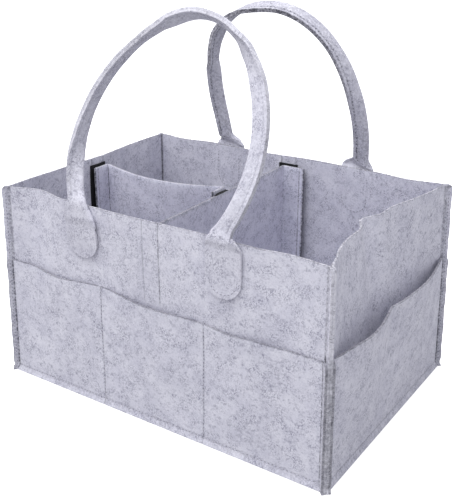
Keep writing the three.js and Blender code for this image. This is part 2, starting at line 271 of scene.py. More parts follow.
@dataclass(frozen=True)
class Surface:
    """How a fabric meets the light, and how deep its relief is."""

    relief_strength: float
    relief_mm: float
    roughness: float
    specular: float = 0.5
    sheen: float = 0.0
    sheen_roughness: float = 0.5
    sunken: bool = False

    def finish(self, tree: Tree, output: bpy.types.Node, height: Socket,
               colour: Socket | tuple) -> None:
        """Ends a material with a relief and a matt shader.

        Args:
            tree: The material's tree.
            output: Its output node.
            height: The relief's height.
            colour: The surface's colour, as a socket or fixed.
        """
        bump = {
            "Strength": self.relief_strength, "Distance": self.relief_mm * MM,
            "invert": self.sunken,
        }
        relief = add_node(tree, "ShaderNodeBump", bump, {"Height": height})
        settings = {
            "Roughness": self.roughness,
            "Specular IOR Level": self.specular,
            "Sheen Weight": self.sheen,
            "Sheen Roughness": self.sheen_roughness,
        }
        links = {"Normal": relief.outputs[0]}
        if isinstance(colour, Socket):
            links["Base Color"] = colour
        else:
            settings["Base Color"] = colour
        shader = add_node(tree, "ShaderNodeBsdfPrincipled", settings, links)
        tree.links.new(shader.outputs[0], output.inputs["Surface"])


@dataclass(frozen=True)
class Pattern:
    """A noise pattern of a size: clean up to low, full from high, and tinting by a strength."""

    size: float
    detail: float
    low: float
    high: float
    strength: float = 1.0
    roughness: float = 0.6


class Felt(Enum):
    """The felt's light, middle and dark tones on each kind of piece and of cut edge."""

    WALL = ("#d7d7e1", "#c5c5d2", "#7b7b90")
    INNER = ("#d6d6e3", "#c4c4d4", "#7a7b91")
    STRAP = ("#d8d8e2", "#c6c6d2", "#7c7b8f")
    EDGE = ("#b0b0b8", "#94949e", "#46464f")
    RIM = ("#d6d6de", "#c4c4ce", "#858590")


@dataclass(frozen=True)
class FeltFinish:
    """Needle-punched polyester felt: matt and soft, with darker fibres mixed through it.

    Sizes are in millimetres, apart from those of the fibres' patterns, which count in
    fibres. The fibres are drawn many times wider than real ones, which are finer than a
    picture point. Shade is painted into the felt where the piece's crease attribute says,
    broken up by a noise.
    """

    name: str
    colour: Felt
    clouds: Pattern = Pattern(17.0, 3.0, 0.36, 0.66, 0.8)
    clumps: Pattern = Pattern(3.4, 4.0, 0.54, 0.78, 0.78)
    specks: Pattern = Pattern(1.6, 3.0, 0.50, 0.74, 0.34)
    patches: Pattern = Pattern(11.0, 2.0, 0.40, 0.62)
    dark_fibres: Pattern = Pattern(1.0, 1.0, 0.575, 0.67, 0.75)
    light_fibres: Pattern = Pattern(1.0, 1.0, 0.60, 0.70, 0.35)
    shade_breakup: Pattern = Pattern(2.2, 2.0, 0.38, 0.60)
    fibre: Point = (7.0, 1.0, 1.0)
    fibre_turns: tuple[Point, ...] = ((0.7, 0.4, 0.7), (-0.6, 0.9, 2.3), (0.3, -0.8, 1.5))
    light_colour: str = "#e9e8f0"
    # The colour of painted shade, and how a noise breaks it up.
    painted_shade_colour: str = "#55555f"
    painted_shade_least: float = 0.4
    painted_shade_gain: float = 1.1
    nap: float = 0.6
    nap_detail: float = 2.0
    nap_roughness: float = 0.6
    speck_relief: float = -0.5
    surface: Surface = Surface(0.55, 0.35, 0.95, 0.15, 0.12, 0.6)

    def material(self) -> Material:
        """The felt as a node material.

        Returns:
            The material.
        """
        material, tree, output = new_material(self.name)
        place = add_node(tree, "ShaderNodeTexCoord").outputs["Object"]
        place_mm = add_node(
            tree, "ShaderNodeMapping", {"vector_type": "TEXTURE", "Scale": (MM, MM, MM)},
            {"Vector": place},
        ).outputs[0]
        specks = self._noise(tree, place_mm, self.specks)
        felted = self._felted(tree, place, place_mm, specks)
        shaded_colour = self._painted_shade(tree, place_mm, felted)
        self.surface.finish(tree, output, self._relief(tree, place_mm, specks), shaded_colour)
        return material

    def _felted(self, tree: Tree, place: Socket, place_mm: Socket, specks: Socket) -> Socket:
        """The colour of clean felt.

        Args:
            tree: The material's tree.
            place: Object coordinates in metres.
            place_mm: The same in millimetres.
            specks: The pattern of small specks.

        Returns:
            The colour.
        """
        light, middle, dark = (linear(colour) for colour in self.colour.value)
        clouds = self._noise(tree, place_mm, self.clouds)
        clumps = self._noise(tree, place_mm, self.clumps)
        patches = self._noise(tree, place_mm, self.patches)
        fibres = self._fibres(tree, place, self.fibre_turns, self.dark_fibres)
        parted = add_node(
            tree, "ShaderNodeMath", {"operation": "MULTIPLY"}, {0: fibres, 1: patches},
        ).outputs[0]
        turned = tuple((z, x, y) for x, y, z in self.fibre_turns[:2])
        bright = self._fibres(tree, place, turned, self.light_fibres)
        colour = self._tinted(tree, clouds, light, middle, self.clouds.strength)
        colour = self._tinted(tree, clumps, colour, dark, self.clumps.strength)
        colour = self._tinted(tree, specks, colour, dark, self.specks.strength)
        colour = self._tinted(tree, parted, colour, dark, self.dark_fibres.strength)
        glint = linear(self.light_colour)
        return self._tinted(tree, bright, colour, glint, self.light_fibres.strength)

    def _painted_shade(self, tree: Tree, place_mm: Socket, colour: Socket) -> Socket:
        """The felt's colour with painted shade, as much as the piece's crease attribute gives.

        Args:
            tree: The material's tree.
            place_mm: Object coordinates in millimetres.
            colour: The colour of clean felt.

        Returns:
            The colour.
        """
        # Painted shade: the crease attribute, broken up by a noise, darkens the felt.
        crease = add_node(tree, "ShaderNodeAttribute", {"attribute_name": SHADE_ATTRIBUTE}).outputs["Fac"]
        uneven = add_node(
            tree, "ShaderNodeMath",
            {"operation": "MULTIPLY_ADD", 1: self.painted_shade_gain, 2: self.painted_shade_least},
            {0: self._noise(tree, place_mm, self.shade_breakup)},
        ).outputs[0]
        patchy_shade = add_node(
            tree, "ShaderNodeMath", {"operation": "MULTIPLY"}, {0: crease, 1: uneven},
        ).outputs[0]
        return self._tinted(tree, patchy_shade, colour, linear(self.painted_shade_colour))

    def _relief(self, tree: Tree, place_mm: Socket, specks: Socket) -> Socket:
        """The height of the nap, lower where there are specks.

        Args:
            tree: The material's tree.
            place_mm: Object coordinates in millimetres.
            specks: The pattern of small specks.

        Returns:
            The height.
        """
        nap = add_node(
            tree, "ShaderNodeTexNoise",
            {"Scale": 1 / self.nap, "Detail": self.nap_detail, "Roughness": self.nap_roughness},
            {"Vector": place_mm},
        )
        return add_node(
            tree, "ShaderNodeMath", {"operation": "MULTIPLY_ADD", 1: self.speck_relief},
            {0: specks, 2: nap.outputs["Fac"]},
        ).outputs[0]

    @staticmethod
    def _noise(tree: Tree, place: Socket, pattern: Pattern) -> Socket:
        """A noise pattern, cut off between its limits.

        Args:
            tree: The material's tree.
            place: The coordinates that it follows.
            pattern: The pattern.

        Returns:
            Its strength, from 0 to 1.
        """
        noise = add_node(
            tree, "ShaderNodeTexNoise",
            {"Scale": 1 / pattern.size, "Detail": pattern.detail, "Roughness": pattern.roughness},
            {"Vector": place},
        )
        return add_node(
            tree, "ShaderNodeMapRange", {"From Min": pattern.low, "From Max": pattern.high},
            {"Value": noise.outputs["Fac"]},
        ).outputs[0]

    def _fibres(self, tree: Tree, place: Socket, turns: Sequence[Point],
                pattern: Pattern) -> Socket:
        """Short fibres that lie in a few directions.

        Args:
            tree: The material's tree.
            place: Object coordinates in metres.
            turns: How the fibres of each direction are turned.
            pattern: How thick they lie.

        Returns:
            Their strength, from 0 to 1.
        """
        sizes = tuple(size * MM for size in self.fibre)
        found = None
        for turn in turns:
            laid = add_node(
                tree, "ShaderNodeMapping",
                {"vector_type": "TEXTURE", "Rotation": turn, "Scale": sizes}, {"Vector": place},
            ).outputs[0]
            layer = self._noise(tree, laid, pattern)
            found = layer if found is None else add_node(
                tree, "ShaderNodeMath", {"operation": "MAXIMUM"}, {0: found, 1: layer},
            ).outputs[0]
        return found

    @staticmethod
    def _tinted(tree: Tree, pattern: Socket, colour: Socket | tuple, tint: tuple,
                strength: float = 1.0) -> Socket:
        """A colour with a tint where a pattern is strong.

        Args:
            tree: The material's tree.
            pattern: The pattern, from 0 to 1.
            colour: The colour under it, as a socket or fixed.
            tint: The tint's colour.
            strength: How strong the tint is where the pattern is 1.

        Returns:
            The colour.
        """
        if strength != 1.0:
            pattern = add_node(
                tree, "ShaderNodeMath", {"operation": "MULTIPLY", 1: strength}, {0: pattern},
            ).outputs[0]
        settings = {"data_type": "RGBA", 7: tint}
        links = {0: pattern}
        (links if isinstance(colour, Socket) else settings)[6] = colour
        return add_node(tree, "ShaderNodeMix", settings, links).outputs[2]


@dataclass(frozen=True)
class TapeFinish:
    """Woven nylon tape, black, with a napped or hooked face that swallows the light."""

    name: str
    colour: str
    pile_mm: float
    pile_colour: str = "#1c1c20"
    disorder: float = 0.7
    surface: Surface = Surface(0.8, 0.4, 0.85, 0.25, 0.05, sunken=True)

    def material(self) -> Material:
        """The tape as a node material.

        Returns:
            The material.
        """
        material, tree, output = new_material(self.name)
        place = add_node(tree, "ShaderNodeTexCoord").outputs["Object"]
        pile = add_node(
            tree, "ShaderNodeTexVoronoi",
            {"Scale": 1 / (self.pile_mm * MM), "Randomness": self.disorder}, {"Vector": place},
        ).outputs["Distance"]
        colour = add_node(
            tree, "ShaderNodeMix",
            {"data_type": "RGBA", 6: linear(self.colour), 7: linear(self.pile_colour)}, {0: pile},
        ).outputs[2]
        self.surface.finish(tree, output, pile, colour)
        return material


@dataclass(frozen=True)
class ThreadFinish:
    """Spun polyester thread: a little glossier than the felt, with a fine twist."""

    name: str
    colour: str
    twist_mm: float = 0.35
    twist_detail: float = 1.0
    surface: Surface = Surface(0.4, 0.1, 0.7, sheen=0.1)

    def material(self) -> Material:
        """The thread as a node material.

        Returns:
            The material.
        """
        material, tree, output = new_material(self.name)
        place = add_node(tree, "ShaderNodeTexCoord").outputs["Object"]
        twist = add_node(
            tree, "ShaderNodeTexNoise",
            {"Scale": 1 / (self.twist_mm * MM), "Detail": self.twist_detail}, {"Vector": place},
        ).outputs["Fac"]
        self.surface.finish(tree, output, twist, linear(self.colour))
        return material


def made_by(finish: FeltFinish | TapeFinish | ThreadFinish) -> Material:
    """A field whose material a finish makes."""
    return field(default_factory=finish.material)


@dataclass
class Finishes:
    """Every finish of the caddy, made once."""

    wall: Material = made_by(FeltFinish("wall_felt", Felt.WALL))
    inner: Material = made_by(FeltFinish("inner_felt", Felt.INNER))
    strap: Material = made_by(FeltFinish("strap_felt", Felt.STRAP))
    edge: Material = made_by(FeltFinish("cut_edge_felt", Felt.EDGE))
    rim: Material = made_by(FeltFinish("rim_felt", Felt.RIM))
    loop: Material = made_by(TapeFinish("loop_tape", "#0d0d0f", 0.9))
    hook: Material = made_by(TapeFinish("hook_tape", "#121214", 1.3))
    thread: Material = made_by(ThreadFinish("thread", "#bdbdc9"))
    # A dark lens at each needle hole that paints the hole's shade.
    hole_shade: Material = made_by(ThreadFinish("needle_hole_shade", "#686878"))


# The shape of the box


@dataclass(frozen=True)
class Fold:
    """A fold pressed into a wall: its depth at the rim, and its place and width as shares.

    A fold without a width is a crease that runs out straight to both seams.
    """

    depth: float
    place: float
    width: float = 0.0


@dataclass(frozen=True)
class Side:
    """One side of the box, drawn as the front is and turned by quarter turns."""

    name: str
    turns: int
    floor_span: float
    rim_span: float
    floor_across: float
    rim_across: float
    folds: tuple[Fold, ...]
    seed: float


class Layer(Enum):
    """The middle of each layer of felt or tape: how far outside the wall's face it lies."""

    PAD = -2.75
    WALL = -0.95
    POCKET = 1.0
    TONGUE = 1.05


@dataclass
class BoxForm:
    """The box's shape, which every panel, tape and tongue on it follows.

    A ripple has a strength, and how it goes on with the share, the height and the seed.
    """

    felt: float = 1.9
    floor_length: float = 324
    floor_depth: float = 224
    rim_length: float = 315
    rim_depth: float = 217
    wall_height: float = 180
    pocket_height: float = 112
    pocket_foot: float = 14
    hem_height: float = 5.5
    hem_flare: float = 2.5
    hem_power: float = 1.5
    seam_gap: float = 0.03
    seam_reach: float = 4.6
    seam_round: float = 4
    seam_top_reach: float = 1.2
    seam_foot_height: float = 10
    seam_foot_reach: float = 2.4
    seam_bend: float = 3.4
    seam_waves: tuple[Wave, ...] = ((0.25, 0.19, 0.0), (0.15, 0.47, 1.0))
    fold_growth: float = 1.15
    crease_square: float = 0.0012
    crease_soft: float = 0.0346
    ripple: float = 0.55
    ripple_fade: Pair = (2, 40)
    ripples: tuple[tuple[float, float, float, float], ...] = (
        (1.0, 5.1, 0.021, 1.0), (0.5, 11.3, -0.043, 2.3), (0.6, 3.7, 0.071, 1.3),
    )
    front_folds: tuple[Fold, ...] = (Fold(7.5, -0.82, 0.24), Fold(2.5, 0.8, 0.22))
    right_folds: tuple[Fold, ...] = (
        Fold(17, -0.1), Fold(7, -0.1, 0.22), Fold(3.8, -0.62, 0.5), Fold(3, 0.24, 0.28),
    )
    back_folds: tuple[Fold, ...] = (Fold(4, -0.8, 0.22), Fold(4, 0.8, 0.22))
    left_folds: tuple[Fold, ...] = (Fold(3.5, 0, 0.5),)
    seeds: tuple[float, ...] = (0.0, 1.7, 3.1, 4.6)
    sides: dict[str, Side] = field(init=False)

    def __post_init__(self) -> None:
        """Sets up the four sides, in quarter turns from the front."""
        long_side = (self.floor_length, self.rim_length, self.floor_depth, self.rim_depth)
        end_side = (self.floor_depth, self.rim_depth, self.floor_length, self.rim_length)
        sizes = (long_side, end_side, long_side, end_side)
        folds = (self.front_folds, self.right_folds, self.back_folds, self.left_folds)
        names = ("front", "right", "back", "left")
        self.sides = {
            name: Side(name, turns, *sizes[turns], folds[turns], self.seeds[turns])
            for turns, name in enumerate(names)
        }

    def _half(self, floor: float, rim: float, z: float) -> float:
        """Half a size of the box at a height, hem included."""
        hem = max(0.0, 1 - z / self.hem_height)
        return lerp(floor, rim, z / self.wall_height) / 2 + self.hem_flare * hem**self.hem_power

    def half_span(self, side: Side, z: float) -> float:
        """Half the box's size along a side."""
        return self._half(side.floor_span, side.rim_span, z)

    def half_across(self, side: Side, z: float) -> float:
        """How far a side's wall stands from the middle of the box."""
        return self._half(side.floor_across, side.rim_across, z)

    def pressed_in(self, side: Side, share: float, z: float) -> float:
        """How far the folds press a wall in.

        Args:
            side: The wall's side.
            share: The place along it, as a share of half its span.
            z: The height.

        Returns:
            The depth.
        """
        growth = max(0.0, (z - self.pocket_foot) / (self.wall_height - self.pocket_foot))
        depth = 0.0
        for fold in side.folds:
            distance = abs(share - fold.place)
            if fold.width == 0:
                room = 1 + fold.place if share < fold.place else 1 - fold.place
                sharp = math.sqrt(distance * distance + self.crease_square) - self.crease_soft
                depth += fold.depth * max(0.0, 1 - sharp / room)
            elif distance < fold.width:
                edge = min(1.0, (1 - abs(share)) / fold.width * 2)
                depth += fold.depth * edge * (1 + math.cos(math.pi * distance / fold.width)) / 2
        return depth * growth**self.fold_growth

    def rippled(self, side: Side, share: float, z: float) -> float:
        """The felt's own slight waves, which fade out at the seams.

        Args:
            side: The wall's side.
            share: The place along it, as a share of half its span.
            z: The height.

        Returns:
            How far they move the felt inwards.
        """
        calm = max(0.0, 1 - share * share) * smooth(z, *self.ripple_fade)
        waves = sum(
            strength * math.sin(share * along + z * up + side.seed * start)
            for strength, along, up, start in self.ripples
        )
        return self.ripple * calm * waves

    def seam_offset(self, layer: float) -> float:
        """How far a layer lies from the diagonal plane of a corner."""
        return layer + self.felt + self.seam_gap

    def bend_place(self, side: Side, z: float, layer: float) -> float:
        """Where a layer turns out at the corner, along the side."""
        return self.half_span(side, z) - (math.sqrt(2) * self.seam_offset(layer) - layer)

    def wall_point(self, side: Side, along: float, z: float, layer: float,
                   swell: float = 0.0) -> Point:
        """A point of a layer between the bends.

        Args:
            side: The side that it is on.
            along: The place along the side.
            z: The height.
            layer: How far outside the wall's face it lies.
            swell: How far it stands out further.

        Returns:
            The point, in the side's own frame.
        """
        share = along / self.bend_place(side, z, layer)
        pressed = self.pressed_in(side, share, z) + self.rippled(side, share, z)
        return (along, pressed - self.half_across(side, z) - layer - swell, z)

    def seam_point(self, side: Side, end: int, z: float, layer: float, reach: float) -> Point:
        """A point of a turned-out edge.

        Args:
            side: The side that it is on.
            end: -1 for the left corner, 1 for the right one.
            z: The height.
            layer: How far outside the wall's face it lies.
            reach: How far from the corner it lies, along the diagonal.

        Returns:
            The point, in the side's own frame.
        """
        offset = self.seam_offset(layer)
        out = (reach + offset) / math.sqrt(2)
        along = (reach - offset) / math.sqrt(2)
        return (end * (self.half_span(side, z) + along), -self.half_across(side, z) - out, z)

    def seam_edge(self, z: float, top: float) -> float:
        """How far the raw edge reaches: rounded off at the top and drawn in at the floor.

        Args:
            z: The height.
            top: The height of the panel's upper edge.

        Returns:
            The reach along the corner's diagonal.
        """
        foot = smooth(z, 0, self.seam_foot_height)
        below = min(1.0, max(0.0, z - (top - self.seam_round)) / self.seam_round)
        rounded = (self.seam_reach - self.seam_top_reach) * (1 - math.sqrt(1 - below * below))
        reach = self.seam_reach + waved(self.seam_waves, z)
        return lerp(self.seam_foot_reach, reach, foot) - rounded

    def turned(self, side: Side, point: Point) -> Point:
        """Turns a point into the caddy's frame.

        Args:
            side: The side.
            point: A point of the side's own frame.

        Returns:
            The same point in the caddy's frame.
        """
        x, y, z = point
        for _ in range(side.turns):
            x, y = -y, x
        return (x, y, z)


# Felt and tape as sheets


@dataclass
class Sheet:
    """A piece cut from felt or tape: a grid laid over a surface and made thick.

    A mark says how much shade is painted into the felt at a column and a row, where a
    seam, a fold or an edge holds shade: 0 is clean felt and 1 is the full painted shade.
    """

    name: str
    columns: Sequence[float]
    rows: Sequence[float]
    place: Place
    thickness: float
    face: Material
    edge: Material
    softness: float = 0.45
    mark: Mark | None = None
    even: bool = True
    edge_degrees: float = 60
    edge_segments: int = 2

    def build(self) -> Piece:
        """Makes the sheet.

        Returns:
            The piece, with its place in its mesh.
        """
        deselect()
        bpy.ops.mesh.primitive_grid_add(
            x_subdivisions=len(self.columns) - 1, y_subdivisions=len(self.rows) - 1, size=1
        )
        piece = bpy.context.object
        piece.name = self.name
        points = [self.place(column, row) for row in self.rows for column in self.columns]
        if len(points) != len(piece.data.vertices):
            raise ValueError(f"{self.name}: the grid has {len(piece.data.vertices)} points")
        piece.data.vertices.foreach_set("co", [c * MM for point in points for c in point])
        piece.data.update()
        if self.mark is not None:
            shades = [self.mark(column, row) for row in self.rows for column in self.columns]
            # The marks go into the crease attribute as painted shade.
            crease = piece.data.attributes.new(SHADE_ATTRIBUTE, "FLOAT", "POINT")
            crease.data.foreach_set("value", shades)
        piece.data.materials.append(self.face)
        piece.data.materials.append(self.edge)
        add_modifier(
            piece, "SOLIDIFY", thickness=self.thickness * MM, offset=0,
            use_even_offset=self.even, material_offset_rim=1,
        )
        add_modifier(
            piece, "BEVEL", limit_method="ANGLE", angle_limit=math.radians(self.edge_degrees),
            width=self.softness * MM, segments=self.edge_segments,
        )
        apply_modifiers(piece)
        rest_on_floor(piece)
        bpy.ops.object.shade_smooth()
        return piece


@dataclass(frozen=True)
class PanelKind:
    """What the panels of one layer share: names, slot, seam allowance and what holds them."""

    layer: Layer
    piece_end: str
    node_end: str
    slot: str
    seam_allowance: float
    rests_on: str


@dataclass
class Walls:
    """The four walls, sewn together with their raw edges turned out.

    A column of a panel is a share from -1 to 1 between the bends, goes on to 2 round a
    bend, and to 3 at the raw edge.
    """

    kind: ClassVar[PanelKind] = PanelKind(
        Layer.WALL, "wall_panel", "wall", "felt_wall", 9, "base_felt"
    )
    bent: ClassVar[float] = 2
    raw: ClassVar[float] = 3
    bend_steps: ClassVar[int] = 5
    raw_steps: ClassVar[int] = 3

    form: BoxForm
    finishes: Finishes
    column_step: float = 3.2
    row_step: float = 3.6
    softness: float = 0.7
    line_offsets: tuple[float, ...] = (0, 0.7, 1.5, 2.6)
    hem_rows: tuple[float, ...] = (0, 1.1, 2.2, 3.2, 4.2, 5.0, 5.6, 6.4, 7.6, 9.5, 12)
    hem_room: float = 15
    top_room: float = 5
    top_shares: tuple[float, ...] = (0.15, 0.4, 0.65, 0.85, 0.96, 1)
    rim_wave: float = 0.5
    rim_wave_rate: float = 7
    rim_wave_seed: float = 3
    rim_wave_power: int = 8
    groove_depth: float = 0.45
    groove_width: float = 1.2
    droop_start: float = 0.5
    # Painted shade along the upright stitch lines, at the hem and its stitch line, at the rim and
    # in the seam valleys; the raw edges below the pocket's edge are darker, in patches.
    line_width: float = 0.6
    hem_shade: float = 0.16
    hem_fade: Pair = (3, 7)
    hem_line_shade: float = 0.4
    hem_line_width: float = 0.8
    rim_shade: float = 0.5
    rim_shade_width: float = 0.6
    pocket_rim_shade: float = 0.4
    brow_width: float = 1
    cover_fade: Pair = (-1, 2)
    valley_start: Pair = (1, 1.25)
    valley_end: Pair = (2, 2.5)
    valley_shades: Pair = (0.4, 0.85)
    raw_start: float = 2.1
    raw_shade: float = 0.22
    raw_patchy_shade: float = 0.2
    patch_rates: tuple[float, float, float] = (2.3, 0.83, 1)

    @property
    def top(self) -> float:
        """The height of the panels."""
        return self.form.wall_height

    @property
    def edge(self) -> Material:
        """The finish of the cut edges."""
        return self.finishes.rim

    def swell(self, side: Side, share: float, z: float) -> float:
        """How far a side's panel stands out from its layer: not at all."""
        return 0.0

    def droop(self, side: Side, share: float) -> float:
        """How far a side's upper edge hangs: not at all."""
        return 0.0

    def point(self, side: Side, lines: Sequence[float], column: float, row: float) -> Point:
        """A point of a panel, which runs from seam to seam.

        Args:
            side: The side that the panel is on.
            lines: Where along the side stitches pull it in.
            column: The column, as the class says.
            row: The height, as a share of the panel's.

        Returns:
            The point.
        """
        form = self.form
        level = self.kind.layer.value
        z = row * self.top
        bend = form.bend_place(side, z, level)
        radius = form.seam_bend - (level - Layer.WALL.value)
        tangent = radius * math.tan(math.pi / 8)
        end = 1 if column > 0 else -1
        u = abs(column)
        fallen = smooth(row, self.droop_start, 1)
        if u <= 1:
            along = column * (bend - tangent)
            share = along / bend
            pull = sum(self.groove_depth * bell(along - at, self.groove_width) for at in lines)
            wave = self.rim_wave * (1 - share * share) * row**self.rim_wave_power
            swell = self.swell(side, share, z) - pull
            x, y, z = form.wall_point(side, along, z, level, swell)
            z -= self.droop(side, share) * fallen
            phase = share * self.rim_wave_rate + side.seed * self.rim_wave_seed
            return form.turned(side, (x, y, z + wave * math.sin(phase)))
        corner = Vector((end * bend, -form.half_across(side, z) - level))
        hung = z - self.droop(side, end) * fallen
        if u <= self.bent:
            start = corner - Vector((end * tangent, 0))
            centre = start + Vector((0, -radius))
            angle = (u - 1) * math.pi / 4
            x = centre.x + end * radius * math.sin(angle)
            y = centre.y + radius * math.cos(angle)
            return form.turned(side, (x, y, hung))
        leave = corner + Vector((end, -1)).normalized() * tangent
        reach = form.seam_edge(z, self.top)
        tip = Vector(form.seam_point(side, end, z, level, reach)[:2])
        return form.turned(side, (*leave.lerp(tip, u - self.bent), hung))

    def mark(self, side: Side, lines: dict[float, float], column: float, row: float) -> float:
        """How dark a panel is: painted shade at its seams, its upright stitch lines, its hem and
        its rim, and darker raw edges below the pocket's edge.

        Args:
            side: The side that the panel is on.
            lines: The shade painted along each upright stitch line, by its place along the side.
            column: The column, as the class says.
            row: The height, as a share of the panel's.

        Returns:
            The shade, from 0 to 1.
        """
        form = self.form
        top = self.top
        outer = self.kind.layer is Layer.POCKET
        z = row * top
        u = abs(column)
        covered = 1 - smooth(z - form.pocket_height, *self.cover_fade)
        if u <= 1:
            along = column * form.bend_place(side, z, self.kind.layer.value)
            drawn = 1.0 if outer else 1 - covered
            # Painted shade at the rim, at the hem, along the hem's stitch line and the upright
            # stitch lines.
            rim = smooth(z, top - self.rim_shade_width, top)
            hem = self.hem_shade * (1 - smooth(z, *self.hem_fade))
            stitched = self.hem_line_shade * bell(z - form.hem_height, self.hem_line_width)
            upright = (
                strength * drawn * bell(along - at, self.line_width)
                for at, strength in lines.items()
            )
            if outer:
                return max(hem, stitched, self.pocket_rim_shade * rim, *upright)
            return max(hem, self.rim_shade * rim, *upright)
        # Painted shade in the valley where the edge turns out, and on the seam's rounded top.
        valley = smooth(u, *self.valley_start) * (1 - smooth(u, *self.valley_end))
        # The raw edges below the pocket's edge are darker, in patches.
        raw_strength = self.raw_shade + self.raw_patchy_shade * patchy(z, *self.patch_rates)
        raw = covered * raw_strength * smooth(u, self.raw_start, self.raw)
        brow = smooth(z, top - form.seam_round, top - self.brow_width)
        return max(
            valley * lerp(*self.valley_shades, covered), raw,
            0.0 if outer else self.rim_shade * brow,
        )

    def rows(self) -> list[float]:
        """Rows, closer together at the hem and at the rounded top.

        Returns:
            Heights as shares of the panel's height.
        """
        count = round((self.top - self.hem_room - self.top_room) / self.row_step)
        middle = spread(self.hem_room, self.top - self.top_room, count)
        top = [self.top - self.form.seam_round * (1 - share) for share in self.top_shares]
        return [z / self.top for z in [*self.hem_rows, *middle, *top]]

    def columns(self, side: Side, lines: Sequence[float]) -> list[float]:
        """Columns along a side, closer together beside its stitch lines and at its bends.

        Args:
            side: The side.
            lines: Where its stitch lines run.

        Returns:
            The columns from raw edge to raw edge.
        """
        half = side.rim_span / 2
        even = spread(-1, 1, round(side.rim_span / self.column_step))
        shares = [line / half for line in lines]
        offsets = [offset / half for offset in self.line_offsets]
        edge = spread(-self.raw, -self.bent, self.raw_steps)[:-1]
        edge += spread(-self.bent, -1, self.bend_steps)[:-1]
        return edge + dense_near(even, shares, offsets) + [-value for value in reversed(edge)]

    def build(self, stitch_lines: dict[str, dict[float, float]]) -> list[Piece]:
        """Makes the four panels.

        Args:
            stitch_lines: The shade painted along each panel's upright stitch lines, by place.

        Returns:
            The pieces.
        """
        pieces = []
        for side in self.form.sides.values():
            lines = stitch_lines[side.name]
            piece = Sheet(
                f"{side.name}_{self.kind.piece_end}", self.columns(side, tuple(lines)),
                self.rows(), lambda column, row: self.point(side, tuple(lines), column, row),
                self.form.felt, self.finishes.wall, self.edge, self.softness,
                lambda column, row: self.mark(side, lines, column, row),
            ).build()
            dress(piece, "caddy", self.kind.slot, f"{side.name}_{self.kind.node_end}")
            pieces.append(piece)
        return pieces


@dataclass
class Pockets(Walls):
    """The pocket panels, caught in the same seams as the walls.

    A droop is a line through pairs of a share of the span and how far the edge hangs.
    """

    kind: ClassVar[PanelKind] = PanelKind(
        Layer.POCKET, "pocket_felt", "pocket_panel", "felt_pocket", 12, "{side}_wall_panel"
    )

    bays: int = 3
    front_swell: float = 3
    back_swell: float = 5
    end_front_swell: float = 11
    end_rear_swell: float = 8
    crease_swell: float = 2.5
    front_droop: Line = (
        (-1, 0), (-0.7, 3), (-0.33, 0), (0, 5), (0.33, 4.5), (0.48, 6), (0.63, 3.7), (0.75, 4.2),
        (0.9, 5), (1, 4.5),
    )
    right_droop: Line = ((-1, 3), (-0.75, 0), (1, 0))
    straight: Line = ((-1, 0), (1, 0))

    @property
    def top(self) -> float:
        """The height of the panels."""
        return self.form.pocket_height

    @property
    def edge(self) -> Material:
        """The finish of the cut edges."""
        return self.finishes.edge

    def open_share(self, z: float) -> float:
        """How far a pocket has opened at a height, from 0 to 1."""
        foot = self.form.pocket_foot
        return max(0.0, (z - foot) / (self.top - foot))

    def swell(self, side: Side, share: float, z: float) -> float:
        """How far a side's pocket panel stands out from its layer.

        An end pocket is one wide pocket, creased in the middle as the wall behind it is.

        Args:
            side: The pocket's side.
            share: The place along it, as a share of half its span.
            z: The height.

        Returns:
            How far it stands out.
        """
        if side.name in ("front", "back"):
            full = self.front_swell if side.name == "front" else self.back_swell
            return full * self._bay(share) * self.open_share(z)
        crease = side.folds[0].place
        before = share < crease
        in_half = (share + 1) / (crease + 1) if before else (1 - share) / (1 - crease)
        in_half = min(1.0, max(0.0, in_half))
        fullness = self.end_front_swell if before else self.end_rear_swell
        puff = fullness * math.sin(math.pi * in_half) + self.crease_swell * in_half**2
        return self.form.pressed_in(side, share, z) + puff * self.open_share(z)

    def _bay(self, share: float) -> float:
        """How full a long pocket is at a share of its span, from 0 at a stitch line to 1."""
        return math.sin(math.pi * ((share + 1) / 2 * self.bays % 1)) ** 2

    def droop(self, side: Side, share: float) -> float:
        """How far a side's pocket edge hangs below its height at a share of the span."""
        droops = {"front": self.front_droop, "right": self.right_droop}
        return profile(droops.get(side.name, self.straight), max(-1.0, share))


